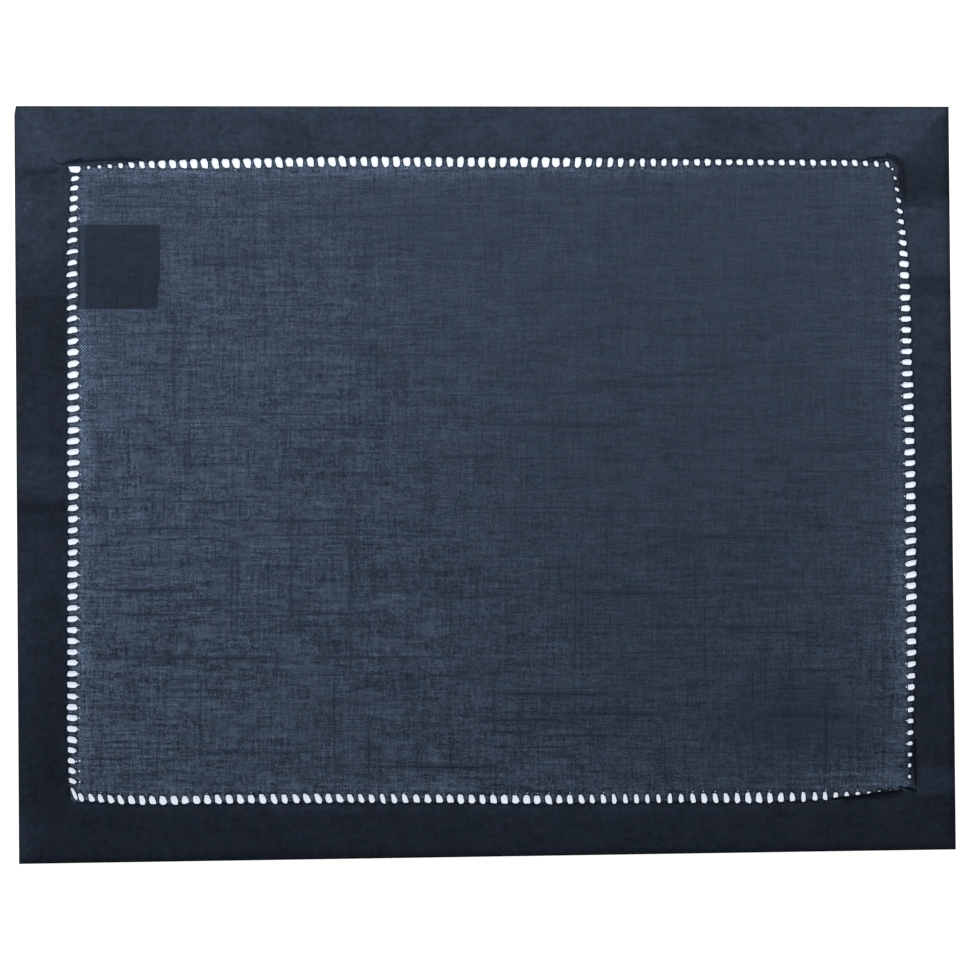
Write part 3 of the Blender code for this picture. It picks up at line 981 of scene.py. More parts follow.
# %% [markdown]
# The front and the rings are joined into one mesh, because the real mat is one cloth: a hem that is a
# piece of its own would show a seam along the fold. Points that no triangle uses, such as those inside
# the gaps, are dropped first.

# %% Join front and rings into one mesh
used = np.unique(np.concatenate(front_faces))
renumber = np.full(len(front_xy), -1)
renumber[used] = np.arange(len(used))
front_faces = renumber[np.array(front_faces)].tolist()
front_xy, front_z = front_xy[used], front_z[used]
front_lift, front_dense = front_lift[used], front_dense[used]
fleck_places = renumber[fleck_places]

count = len(EDGE_RING)
edge_places = [int(renumber[place_of[index]]) for index in loops[0][1]][::-1]
before = edge_places
ring_faces = []
first = len(front_xy)
for _ in rings:
    here = list(range(first, first + count))
    for k in range(count):
        following = (k + 1) % count
        ring_faces.append([before[k], before[following], here[following], here[k]])
    before = here
    first += count

cloth_points = np.concatenate([
    np.column_stack([front_xy, front_z]), *(np.column_stack([xy, height]) for xy, height in rings)])


def new_piece(name, points, faces):
    """A smooth mesh object from points in millimetres."""
    mesh = bpy.data.meshes.new(name)
    mesh.from_pydata((np.asarray(points) * MM).tolist(), [], faces)
    mesh.shade_smooth()
    piece = bpy.data.objects.new(name, mesh)
    bpy.context.collection.objects.link(piece)
    print(name + ":", len(mesh.vertices), "points,", sum(len(face) - 2 for face in faces), "triangles")
    return piece


linen_mat = new_piece("linen_mat", cloth_points, front_faces + ring_faces)

# %% [markdown]
# ## How open the weave is
# A single layer of this cloth lets a little of the light box through. The weave is slackest beside the
# gaps, where threads were drawn out, and a few broad places in the field are looser or closer too. In
# the bars between the gaps the threads are bundled, tighter at the two sides than along the top and the
# bottom. Between the gaps and the hem runs a thin strip of single cloth.

# %% Tables of loose and close places
BAR_OPEN = {"top": 1.2, "right": 0.65, "bottom": 1.3, "left": 0.75}
STRIP_OPEN = {"top": 0.020, "right": 0.015, "bottom": 0.004, "left": 0.015}

# Beside a row the weave is looser by amount, fading over reach, between the places low and high along it.
Slack = namedtuple("Slack", "row low high reach amount")
SLACKS = (
    Slack("left", -150, 155, 6.0, 0.024),
    Slack("left", 0, 60, 6.5, 0.018),
    Slack("top", -195, -25, 5.5, 0.038),
    Slack("top", -25, 105, 5.5, 0.022),
    Slack("top", 105, 195, 4.0, 0.010),
    Slack("right", -60, 120, 6.0, 0.012),
    Slack("right", -115, -25, 7.0, 0.020),
    Slack("bottom", -200, 80, 5.0, 0.008),
)

# Broad soft ovals in the field where the weave is a little looser, or closer below zero.
Place = namedtuple("Place", "x y wide tall amount")
PLACES = (
    Place(158, -116, 42, 20, -0.012),
    Place(-130, 114, 30, 10, -0.005),
    Place(-30, 124, 40, 8, -0.005),
    Place(-85, -30, 45, 5, 0.006),
    Place(-95, -42, 30, 4, -0.006),
    Place(-140, 11, 16, 7, -0.010),
    Place(-136, 32, 24, 12, 0.004),
    Place(-136, -147, 12, 5, -0.014),
    Place(-66, -147, 14, 5, 0.005),
    Place(97, -147, 12, 5, 0.006),
    Place(186, -144, 14, 6, 0.009),
    Place(193, 108, 8, 12, -0.008),
)
print("loose strips and places:", len(SLACKS), len(PLACES))

# %% [markdown]
# How much light passes is stored as a number on every point of the mesh, which the material reads. A
# painted image could do the same, but numbers worked out from the rows of gaps stay with them.

# %% Openness of the front
SLACK_ENDS = 20


def row_edges(xy, name):
    """How far each point is inside a row of gaps and how far outside it, in mm."""
    row = ROWS[name]
    sections = sorted(row.sections, key=lambda here: here.at)
    places = [here.at for here in sections]
    along, away = (xy[:, 1], xy[:, 0]) if row.upright else (xy[:, 0], xy[:, 1])
    line = np.interp(along, places, [here.line for here in sections])
    half = np.interp(along, places, [here.across / 2 for here in sections])
    return along, (line - away) * row.outward - half, (away - line) * row.outward - half


def openness(xy):
    """The share of the light box that shows between the threads, at each point of the front."""
    x, y = xy[:, 0] / 150, xy[:, 1] / 110
    # over the whole field more light passes towards the left, in a smooth slope
    share = 0.0210 - 0.0147 * x + 0.0050 * x * x + 0.0040 * x ** 3 - 0.0040 * y
    share += 0.0019 * x * y * y - 0.0008 * x * y
    for place in PLACES:
        off = ((xy[:, 0] - place.x) / place.wide) ** 2 + ((xy[:, 1] - place.y) / place.tall) ** 2
        share += place.amount * np.exp(-off)
    for slack in SLACKS:
        along, inside, _ = row_edges(xy, slack.row)
        there = soft((along - slack.low) / SLACK_ENDS + 0.5) * soft((slack.high - along) / SLACK_ENDS + 0.5)
        share += slack.amount * there * np.exp(-(np.clip(inside, 0, None) / slack.reach) ** 3)
    for name in ROWS:
        _, inside, outside = row_edges(xy, name)
        share *= BAR_OPEN[name] + (1 - BAR_OPEN[name]) * soft(inside / 0.8 + 0.6)
        share *= 1 - soft(outside / 0.4 + 0.6)
    for name, amount in STRIP_OPEN.items():
        _, _, outside = row_edges(xy, name)
        share += amount * soft(outside / 0.35)
    return share


def store(piece, name, values, domain="POINT"):
    """Keeps one number for each point or face of a piece, for its material to read."""
    layer = piece.data.attributes.new(name, "FLOAT", domain)
    layer.data.foreach_set("value", np.asarray(values, dtype=np.float32))
    print(name + ":", round(float(np.min(values)), 3), "to", round(float(np.max(values)), 3))


SLUB_CLOSER = 0.75
RIM_CLOSED = ((EDGE_LIFT, 0.1), (RIM_LIFT, 0.5), (-0.02, 1.0))

front_open = openness(front_xy) * (1 - SLUB_CLOSER * np.clip(front_dense, 0, 1))
front_open *= np.interp(front_lift, *zip(*RIM_CLOSED))
store(linen_mat, "openness", np.concatenate([front_open, np.zeros(len(cloth_points) - len(front_xy))]))

# %% [markdown]
# The tone of the cloth is stored the same way: 1 is its plain colour. Pressing leaves bands in the hem
# that take the light differently, and that light and shade is painted into the tone. Each side of the
# hem is its own strip, so its bands end at the mitres. Painted shade darkens the cloth where it turns
# away from the light round the outer fold and into the gaps. Two or three materials side by side could
# give bands as well, but not with soft steps between them.

# %% Tone along the left and right hem
# A side's tone is a broken line of (y, tone) corners. A sharp step is two corners a millimetre apart.
# Bands of painted light and shade along the left and right hem.
PRESSED_LIGHT_AND_SHADE = {
    "left": (
        (183, 1.05), (166, 1.12), (156.5, 1.10), (154, 0.84), (147, 0.87), (140, 0.95), (120, 0.96),
        (111, 0.84), (99, 0.69), (93, 0.74), (91.5, 0.58), (68, 0.56), (54, 0.63), (52.5, 0.68),
        (34, 0.77), (17, 0.73), (15, 0.92), (0, 1.07), (-6, 1.05), (-7.5, 0.55), (-13, 0.55),
        (-14, 0.70), (-20.5, 0.71), (-22, 0.80), (-35, 0.88), (-54, 1.0), (-55.5, 0.86), (-80, 0.88),
        (-98, 0.86), (-106, 0.86), (-108, 0.77), (-126, 0.83), (-136, 0.90), (-157, 0.87),
        (-169, 1.12), (-180, 1.25)),
    "right": (
        (183, 0.62), (170, 0.70), (160, 0.70), (152, 0.50), (145, 0.43), (141, 0.52), (136, 0.62),
        (134.5, 0.92), (120, 1.04), (109, 1.02), (102, 0.98), (101, 0.66), (93, 0.68), (91, 0.88),
        (68, 0.86), (56, 0.94), (47, 0.86), (20, 0.92), (2, 1.02), (0, 0.92), (-3, 0.74), (-7, 0.76),
        (-9, 0.87), (-25, 0.95), (-48, 0.95), (-80, 1.04), (-82, 0.86), (-110, 0.91), (-126, 0.86),
        (-137, 0.82), (-139, 1.36), (-150, 1.38), (-152, 0.86), (-180, 0.86)),
}
# How softly the tone steps at each mitre, in mm. At the top right one the bands run into each other.
MITRE_BLENDS = (0.9, 4.0, 0.9, 0.9)


def side_share(xy, name, number):
    """1 on one side of the hem and 0 elsewhere, with a soft step at its two mitres."""
    _, _, outside = row_edges(xy, name)
    share = soft(outside / 0.6)
    for corner, sign in ((number, 1), ((number + 1) % 4, -1)):
        outer, inner = np.array(OUTLINE[corner]), np.array(INNER_CORNERS[corner])
        run = (inner - outer) / np.linalg.norm(inner - outer)
        off = (xy - outer) @ np.array([-run[1], run[0]]) * sign
        share *= soft(0.5 + off / MITRE_BLENDS[corner])
    return share


tone = np.ones(len(cloth_points))
for name, number in (("right", 1), ("left", 3)):
    heights, tones = zip(*sorted(PRESSED_LIGHT_AND_SHADE[name]))
    pressed = np.interp(cloth_points[:, 1], heights, tones)
    tone *= 1 + (pressed - 1) * side_share(cloth_points[:, :2], name, number)
print("tone of the pressed hem:", round(tone.min(), 2), "to", round(tone.max(), 2))

# %% [markdown]
# Some marks are broader than a band: strips and patches of painted light and shade, and painted shade in
# the pinched cloth of the creases. Each is a box or a line with a soft border that makes the cloth paler
# or darker. A noise would put them in the wrong places, so they are placed one by one.

# %% Marks in boxes, folds and rims
# A mark's tone is what it multiplies the cloth's own by, with a border of blend, in mm.
Mark = namedtuple("Mark", "x1 x2 y1 y2 tone blend")
LIGHT_AND_SHADE_MARKS = (
    # Each box paints light above a tone of 1 and shade below it.
    # across the top hem
    Mark(-230, 230, 179, 186, 1.06, 5),
    Mark(-200, 200, 157, 163, 0.92, 4),
    Mark(-197, -145, 160, 184, 0.90, 12),
    Mark(-106, -82, 160, 178, 0.80, 14),
    Mark(5, 58, 162, 184, 1.08, 14),
    Mark(108, 140, 160, 182, 0.82, 14),
    Mark(193, 208, 163, 183, 1.20, 9),
    Mark(-70, 190, 160, 186, 0.96, 10),
    # across the bottom hem
    Mark(-104, -61, -161, -156, 1.22, 5),
    Mark(-2, 27, -161, -156, 1.20, 5),
    Mark(56, 81, -161, -156, 1.20, 5),
    Mark(-232, -208, -186, -166, 1.12, 8),
    Mark(165, 215, -180, -160, 0.90, 10),
    # painted paler along the outer fold at the left
    Mark(-232, -222.5, -180, -55, 1.24, 6),
    Mark(-232, -222.5, 118, 146, 1.20, 6),
    Mark(-214, -204, -165, 150, 0.92, 6),
)
# Painted shade: how dark each side turns at the edge of the front, and round the fold, where the cloth turns
# away from the light.
EDGE_SHADE_TONES = {"top": (1.0, 0.55), "right": (0.6, 0.35), "bottom": (0.7, 0.4), "left": (1.0, 0.55)}
# Painted shade on the rolled edge and rim of each gap, where the cloth turns away from the light.
RIM_SHADE_TONES = ((EDGE_LIFT, 0.30), (RIM_LIFT, 0.62), (-0.02, 0.95), (0.0, 1.0))


def how_far_in(xy, mark):
    """1 inside a mark's box and 0 outside it, with a soft border."""
    x, y = xy[:, 0], xy[:, 1]
    outside = np.maximum.reduce([mark.x1 - x, x - mark.x2, mark.y1 - y, y - mark.y2])
    return soft(0.5 - outside / mark.blend)


for mark in LIGHT_AND_SHADE_MARKS:
    tone *= 1 + (mark.tone - 1) * how_far_in(cloth_points, mark)
# Painted shade along the creases, and painted light where a crease's tone is above 1.
for crease in CREASES:
    tone *= 1 + (crease.tone - 1) * in_crease(cloth_points[:, :2], crease)
# Painted shade on the gaps' rolled edges and rims.
tone[:len(front_xy)] *= np.interp(front_lift, *zip(*RIM_SHADE_TONES))
# Painted shade at the front's edge and round the outer fold.
ring_sides = [name for name, length in zip(SIDE_OF_CORNER, SIDE_LENGTHS) for _ in stations(length)]
on_front, on_fold = np.array([EDGE_SHADE_TONES[name] for name in ring_sides]).T
tone[edge_places] *= on_front
first = len(front_xy)
for _ in range(FOLD_STEPS):
    tone[first:first + count] *= on_fold
    first += count
store(linen_mat, "tone", tone)

# %% [markdown]
# The rubbed flecks get a number of their own, since rubbed yarn loses dye and so turns paler.

# %% Rubbed flecks
rubbed = np.zeros(len(cloth_points))
for place, fleck in zip(fleck_places, FLECKS):
    rubbed[place] = fleck.pale
store(linen_mat, "rubbed", rubbed)

# %% [markdown]
# The label behind the cloth is stored on the faces instead, so that its edge stays crisp. backing is how
# much light it stops: a painted shadow of the label on the light that comes through the cloth. shade is
# painted into the cloth's colour: painted shade over the label, and painted light over its single-layer
# strip at the left.

# %% Label backing and shade
BACKED = {"backed": 1.0, "half_backed": 1.0, "field": 0.0, "hem": 0.0}
# Painted shade over the label and painted light over its strip, multiplied into the cloth's colour.
LABEL_LIGHT_AND_SHADE = {"backed": 0.79, "half_backed": 1.22, "field": 1.0, "hem": 1.0}
store(linen_mat, "backing", [BACKED[kind] for kind in face_kinds] + [0.0] * len(ring_faces), "FACE")
store(linen_mat, "shade", [LABEL_LIGHT_AND_SHADE[kind] for kind in face_kinds] + [1.0] * len(ring_faces), "FACE")

# %% [markdown]
# ## The cloth's finish
# This is piece-dyed linen in a plain weave. Its yarns are uneven, so the colour is streaked along both
# thread directions and speckled where thick yarns cross. Every yarn could be modelled, but that takes
# thousands of tubes. A picture of cloth could be laid over it, but it would repeat and blur. So the
# grain is a sum of noises, each with blotches of a real width and height. The yarns are 0.3 mm, too
# fine for the picture, so the speckle and the streaks are drawn two to three times as coarse.

# %% Grain of the uneven yarns
Pattern = namedtuple("Pattern", "wide tall strength")
SHEER_PATTERNS = (
    Pattern(0.9, 0.9, 2.35),
    Pattern(2.2, 2.0, 0.8),
    Pattern(7.0, 0.8, 1.3),
    Pattern(0.8, 7.0, 1.1),
    Pattern(16.0, 2.2, 1.0),
    Pattern(38.0, 1.3, 0.9),
    Pattern(1.3, 30.0, 0.9),
    Pattern(24.0, 17.0, 0.5),
)
# In the hem the iron has smoothed the speckle out.
PRESSED_PATTERNS = (
    Pattern(1.1, 1.0, 0.30),
    Pattern(2.8, 2.4, 0.70),
    Pattern(9.0, 1.2, 0.32),
    Pattern(1.2, 9.0, 0.36),
    Pattern(8.0, 6.0, 0.50),
    Pattern(30.0, 22.0, 0.35),
)


def yarn_grain(tree, place, patterns):
    """The sum of the patterns, which is 1 on average."""
    grain = 1 - sum(pattern.strength for pattern in patterns) / 2
    for pattern in patterns:
        stretch = (1 / (pattern.wide * MM), 1 / (pattern.tall * MM), 1 / MM)
        drawn = add_node(tree, "ShaderNodeVectorMath", {0: place, 1: stretch}, operation="MULTIPLY")
        noise = add_node(tree, "ShaderNodeTexNoise", {"Vector": drawn.outputs[0], "Scale": 1, "Detail": 1})
        grain = add_node(tree, "ShaderNodeMath", {
            0: noise.outputs["Fac"], 1: pattern.strength, 2: grain}, operation="MULTIPLY_ADD").outputs[0]
    return grain


print("patterns in the sheer and in the pressed cloth:", len(SHEER_PATTERNS), len(PRESSED_PATTERNS))

# %% [markdown]
# A plain weave goes over and under. Two sine waves multiplied give a checker of rounded yarns, and a
# broad noise bends its lines a little, since a brick or checker texture would be ruled and hard. It too
# is drawn coarser than the 0.3 mm of the real yarns, so that it shows.

# %% Over and under
WEAVE_MM = 0.72
BEND_MM, BEND_OVER_MM = 0.5, 5.0


def over_and_under(tree, place):
    """A bent checker of rounded yarns, from -1 to 1."""
    wobble = add_node(tree, "ShaderNodeTexNoise", {
        "Vector": place, "Scale": 1 / (BEND_OVER_MM * MM), "Detail": 1})
    bent = add_node(tree, "ShaderNodeVectorMath", {
        0: wobble.outputs["Color"], 1: (BEND_MM * MM,) * 3, 2: place}, operation="MULTIPLY_ADD")
    turns = add_node(tree, "ShaderNodeVectorMath", {
        0: bent.outputs[0], "Scale": math.pi / (WEAVE_MM * MM)}, operation="SCALE")
    waved = add_node(tree, "ShaderNodeVectorMath", {0: turns.outputs[0]}, operation="SINE")
    parts = add_node(tree, "ShaderNodeSeparateXYZ", {0: waved.outputs[0]})
    checker = add_node(tree, "ShaderNodeMath", {
        0: parts.outputs[0], 1: parts.outputs[1]}, operation="MULTIPLY")
    return checker.outputs[0]


print("one yarn of the drawn weave, mm:", WEAVE_MM)

# %% [markdown]
# Piece dye takes unevenly, so the navy drifts a little towards green and purple every few millimetres.
# One flat colour would look like plastic sheet.

# %% Navy dye
NAVY_YARN = "242C39"
DYE_MM = 5.0
DYE_UNEVEN = 0.30


def dye_drift(tree, place):
    """A factor near 1 for each of red, green and blue."""
    blots = add_node(tree, "ShaderNodeTexNoise", {"Vector": place, "Scale": 1 / (DYE_MM * MM), "Detail": 1})
    drift = add_node(tree, "ShaderNodeVectorMath", {
        0: blots.outputs["Color"], 1: (DYE_UNEVEN, -DYE_UNEVEN / 2, DYE_UNEVEN / 2),
        2: (1 - DYE_UNEVEN / 2, 1 + DYE_UNEVEN / 4, 1 - DYE_UNEVEN / 4)}, operation="MULTIPLY_ADD")
    return drift.outputs[0]


print("navy in linear light:", [round(part, 4) for part in linear(NAVY_YARN)[:3]])

# %% [markdown]
# A sheer cloth passes light in two ways. Some goes straight between the yarns, which is alpha. More is
# scattered by the fibres on its way, which is a translucent shader mixed in, tinted by the dye. The
# transmission of the main shader would bend the light like glass, which thin cloth doesn't do.

# %% Light through the sheer cloth
THROUGH_TINT = "C0DFFF"
STRAIGHT, SCATTERED = 0.3, 1.33
EVEN_SHARE, SLACK_SHARE = 0.011, 0.027
ROUGH_LEAST, ROUGH_MOST = 0.25, 0.88
DOTTED = 1.7
PEEP = 0.6
PEEP_PATCH_MM = 9.0


def let_through(tree, shader, place, checker, grain, drift):
    """Lets light through by the stored openness, in pale dots, and not where the label lies behind."""
    backing = add_node(tree, "ShaderNodeAttribute", attribute_name="backing").outputs["Fac"]
    free = add_node(tree, "ShaderNodeMath", {0: 1.0, 1: backing}, operation="SUBTRACT")
    slack = add_node(tree, "ShaderNodeAttribute", attribute_name="openness").outputs["Fac"]
    through = add_node(tree, "ShaderNodeMath", {0: slack, 1: free.outputs[0]}, operation="MULTIPLY")
    patches = add_node(tree, "ShaderNodeTexNoise", {
        "Vector": place, "Scale": 1 / (PEEP_PATCH_MM * MM), "Detail": 1})
    depth = add_node(tree, "ShaderNodeMapRange", {
        "Value": patches.outputs["Fac"], "From Min": 0.42, "From Max": 0.62, "To Max": 2 * PEEP})
    peeps = add_node(tree, "ShaderNodeMath", {
        0: checker, 1: depth.outputs[0], 2: grain}, operation="MULTIPLY_ADD")
    # The slacker the weave, the rougher its speckle.
    rough = add_node(tree, "ShaderNodeMapRange", {
        "Value": slack, "From Min": EVEN_SHARE, "From Max": SLACK_SHARE,
        "To Min": ROUGH_LEAST, "To Max": ROUGH_MOST})
    off = add_node(tree, "ShaderNodeMath", {0: peeps.outputs[0], 1: 1.0}, operation="SUBTRACT")
    lighter = add_node(tree, "ShaderNodeMath", {
        0: off.outputs[0], 1: rough.outputs[0], 2: 1.0}, operation="MULTIPLY_ADD")
    least = add_node(tree, "ShaderNodeMath", {0: lighter.outputs[0], 1: 0.0}, operation="MAXIMUM")
    # A power above one draws the light together into small pale dots.
    speckle = add_node(tree, "ShaderNodeMath", {0: least.outputs[0], 1: DOTTED}, operation="POWER")
    through = add_node(tree, "ShaderNodeMath", {
        0: through.outputs[0], 1: speckle.outputs[0]}, operation="MULTIPLY", use_clamp=True)
    solid = add_node(tree, "ShaderNodeMath", {
        0: through.outputs[0], 1: -STRAIGHT, 2: 1.0}, operation="MULTIPLY_ADD")
    tree.links.new(solid.outputs[0], shader.inputs["Alpha"])
    passing = add_node(tree, "ShaderNodeMath", {
        0: through.outputs[0], 1: SCATTERED}, operation="MULTIPLY", use_clamp=True)
    tint = add_node(tree, "ShaderNodeVectorMath", {
        0: drift, 1: linear(THROUGH_TINT)[:3]}, operation="MULTIPLY")
    fibres = add_node(tree, "ShaderNodeBsdfTranslucent", {"Color": tint.outputs[0]})
    both = add_node(tree, "ShaderNodeMixShader", {
        0: passing.outputs[0], 1: shader.outputs[0], 2: fibres.outputs[0]})
    tree.links.new(both.outputs[0], tree.nodes["Material Output"].inputs["Surface"])


print("share of light straight through and scattered:", STRAIGHT, SCATTERED)

# %% [markdown]
# One function puts the cloth's finish together, sheer for the field and opaque for the hem. Linen fibre
# has an IOR of about 1.53, but a weave of it is so matt that little shines. Waxy fibre gives it a faint
# sheen at a low angle. Rubbed yarn has lost some dye, so the flecks are paler. One finish for the whole
# mat would be shorter, but only the field needs the costly light that goes through.

# %% Linen, sheer and pressed
SHEER_EVEN = 0.7
FLECK_PALER = 1.6
YARN_ROUND = 0.6
LINEN_SURFACE = {
    "IOR": 1.53, "Roughness": 0.85, "Specular IOR Level": 0.06, "Sheen Weight": 0.04,
    "Sheen Roughness": 0.5}


def linen(name, patterns, sheer):
    """Navy linen. sheer sets whether light may pass between the yarns."""
    material, tree, shader = new_material(name)
    place = add_node(tree, "ShaderNodeTexCoord").outputs["Object"]
    grain = yarn_grain(tree, place, patterns)
    checker = over_and_under(tree, place)
    drift = dye_drift(tree, place)

    # The speckle of a sheer weave is mostly light between the yarns: their own colour is more even.
    even = 1 - SHEER_EVEN if sheer else 1.0
    strength = add_node(tree, "ShaderNodeMath", {
        0: grain, 1: even, 2: 1 - even}, operation="MULTIPLY_ADD").outputs[0]
    # tone and shade carry painted light and shade into the cloth's colour.
    for stored in ("tone", "shade"):
        number = add_node(tree, "ShaderNodeAttribute", attribute_name=stored).outputs["Fac"]
        strength = add_node(tree, "ShaderNodeMath", {0: strength, 1: number}, operation="MULTIPLY").outputs[0]
    if sheer:
        let_through(tree, shader, place, checker, grain, drift)
    else:
        rubbed = add_node(tree, "ShaderNodeAttribute", attribute_name="rubbed").outputs["Fac"]
        paler = add_node(tree, "ShaderNodeMath", {
            0: rubbed, 1: FLECK_PALER, 2: 1.0}, operation="MULTIPLY_ADD")
        strength = add_node(tree, "ShaderNodeMath", {
            0: strength, 1: paler.outputs[0]}, operation="MULTIPLY").outputs[0]
    dyed = add_node(tree, "ShaderNodeVectorMath", {0: drift, 1: linear(NAVY_YARN)[:3]}, operation="MULTIPLY")
    colour = add_node(tree, "ShaderNodeVectorMath", {
        0: dyed.outputs[0], "Scale": strength}, operation="SCALE")
    tree.links.new(colour.outputs[0], shader.inputs["Base Color"])

    height = add_node(tree, "ShaderNodeMath", {0: checker, 1: YARN_ROUND, 2: grain}, operation="MULTIPLY_ADD")
    bump = add_node(tree, "ShaderNodeBump", {
        "Height": height.outputs[0], "Distance": 0.05 * MM, "Strength": 0.6})
    tree.links.new(bump.outputs[0], shader.inputs["Normal"])
    set_inputs(shader, LINEN_SURFACE)
    return material


linen_mat.data.materials.append(linen("sheer_navy_linen", SHEER_PATTERNS, True))
linen_mat.data.materials.append(linen("pressed_navy_linen", PRESSED_PATTERNS, False))
finish_of = [1 if kind == "hem" else 0 for kind in face_kinds] + [1] * len(ring_faces)
linen_mat.data.polygons.foreach_set("material_index", finish_of)
print("faces of sheer and of pressed linen:", finish_of.count(0), finish_of.count(1))

# %% [markdown]
# ## Slub yarns
# Each slub is now made as a flattened tube that swells and tapers, laid in the cloth along the line that
# was drawn for it. It shows as a dark streak, because no light comes through it. A bevelled curve gives
# such a tube too, but it is round, and a mesh can be flattened. All tubes, here and in the stitching,
# come from one function and are joined into a single mesh.

# %% Tubes
Tubes = namedtuple("Tubes", "points faces")


def add_tube(tubes, path, widths, flat=1.0, sides=6):
    """Adds a tube along a path in mm. widths are its full widths, and flat its height over its width."""
    path = np.asarray(path, dtype=float)
    along = np.gradient(path, axis=0)
    along /= np.linalg.norm(along, axis=1)[:, None]
    aside = np.cross((0, 0, 1), along)
    aside /= np.linalg.norm(aside, axis=1)[:, None]
    above = np.cross(along, aside)
    first = len(tubes.points)
    for place, right, up, width in zip(path, aside, above, widths):
        for side in range(sides):
            angle = 2 * math.pi * side / sides
            out = right * math.cos(angle) + up * math.sin(angle) * flat
            tubes.points.append(place + out * width / 2)
    for step in range(len(path) - 1):
        for side in range(sides):
            here = first + step * sides
            following = (side + 1) % sides
            tubes.faces.append([here + side, here + following, here + sides + following,
                                here + sides + side])
    tubes.faces.append(list(range(first, first + sides))[::-1])
    tubes.faces.append(list(range(len(tubes.points) - sides, len(tubes.points))))


print("triangles of a tube of six sides, for each step:", 2 * 6)

# %% [markdown]
# A slub lies in the cloth at the cloth's own height, so its top half shows. It is pressed flatter than
# it is wide, as ironed yarn is.

# %% Slub mesh
SLUB_FLAT = 0.45
heights = front_height(np.concatenate([xy for xy, _ in paths]))
tubes = Tubes([], [])
first = 0
for xy, width in paths:
    z = heights[first:first + len(xy)]
    first += len(xy)
    add_tube(tubes, np.column_stack([xy, z]), width, SLUB_FLAT)
slub_yarns = new_piece("slub_yarns", tubes.points, tubes.faces)
print("slubs:", len(paths))

# %% [markdown]
# A slub is the same linen yarn as the cloth, only thicker, so its finish starts from the same navy. It is
# ribbed by the twist of its fibres, and painted paler than the navy: painted light for the light that
# thick yarn scatters. One noise of the fibres' size gives both the shades and the relief. Thread and tape
# are made in the same way.

# %% Slub finish
def grained(tree, shader, colour, pattern, shades, relief_mm, strength):
    """Shades a colour by a pattern, and raises the surface by the same pattern."""
    shade = add_node(tree, "ShaderNodeMapRange", {
        "Value": pattern, "From Min": 0.3, "From Max": 0.7, "To Min": shades[0], "To Max": shades[1]})
    shaded = add_node(tree, "ShaderNodeVectorMath", {
        0: linear(colour)[:3], "Scale": shade.outputs[0]}, operation="SCALE")
    tree.links.new(shaded.outputs[0], shader.inputs["Base Color"])
    bump = add_node(tree, "ShaderNodeBump", {
        "Height": pattern, "Distance": relief_mm * MM, "Strength": strength})
    tree.links.new(bump.outputs[0], shader.inputs["Normal"])


def slub_linen():
    """Thick spun linen yarn: matt and fibrous."""
    material, tree, shader = new_material("spun_linen_slub")
    place = add_node(tree, "ShaderNodeTexCoord").outputs["Object"]
    fibres = add_node(tree, "ShaderNodeTexNoise", {"Vector": place, "Scale": 1 / (0.8 * MM), "Detail": 2})
    # Shades above 1 make the slub paler than the navy: painted light for light scattered in thick yarn.
    grained(tree, shader, NAVY_YARN, fibres.outputs["Fac"], (1.0, 1.6), 0.05, 0.5)
    set_inputs(shader, LINEN_SURFACE)
    return material


slub_yarns.data.materials.append(slub_linen())
print("slub finish:", slub_yarns.data.materials[0].name)

# %% [markdown]
# ## The hemstitching
# Two kinds of stitch hold the hem. A running line of thread lies along the hem's inner edge, and at
# every bar a couple of turns are pulled tight round the bundled threads, at the end next to the hem.
# The tops of the turns are modelled, since the rest is inside the cloth. Each stitch is a short tube of
# its own: one long curve would have to be steered round every bar.

# %% Running line and wraps
THREAD_MM = 0.36
LINE_MM = 0.28
LINE_OUT = 0.10
CAP_OUT, CAP_MM = 0.30, 0.42
# From what x or y on, along each row, a turn of thread also closes the outer end of a gap.
CAPS_FROM = {"top": 85.0, "right": 200.0, "bottom": 150.0, "left": 200.0}
STITCH_SEED = 5
# How far into a bar its two turns lie, and how much longer they are than the bar is wide, on each side.
WRAP_INSETS, WRAP_OVER = (0.15, 0.62), 0.12
# How high each kind of stitch arches over the cloth, in mm.
WRAP_RISE, TAIL_RISE, CAP_RISE, LINE_RISE, LAID_RISE = 0.22, 0.10, 0.12, 0.14, 0.2
stitch_luck = random.Random(STITCH_SEED)
Stitch = namedtuple("Stitch", "start end width rise")


def bars_of(name):
    """For each bar of a row: the point at its hem end, the way along the row, and the bar's width."""
    row = ROWS[name]
    bars = []
    for one, other in zip(GAPS[name], GAPS[name][1:]):
        if row.upright:
            reach = row.outward * min(one.wide, other.wide) / 2
            width = abs(one.y - other.y) - (one.tall + other.tall) / 2
            bars.append(((one.x + reach, (one.y + other.y) / 2), (0, 1), width))
        else:
            reach = row.outward * min(one.tall, other.tall) / 2
            width = abs(one.x - other.x) - (one.wide + other.wide) / 2
            bars.append((((one.x + other.x) / 2, one.y + reach), (1, 0), width))
    return bars


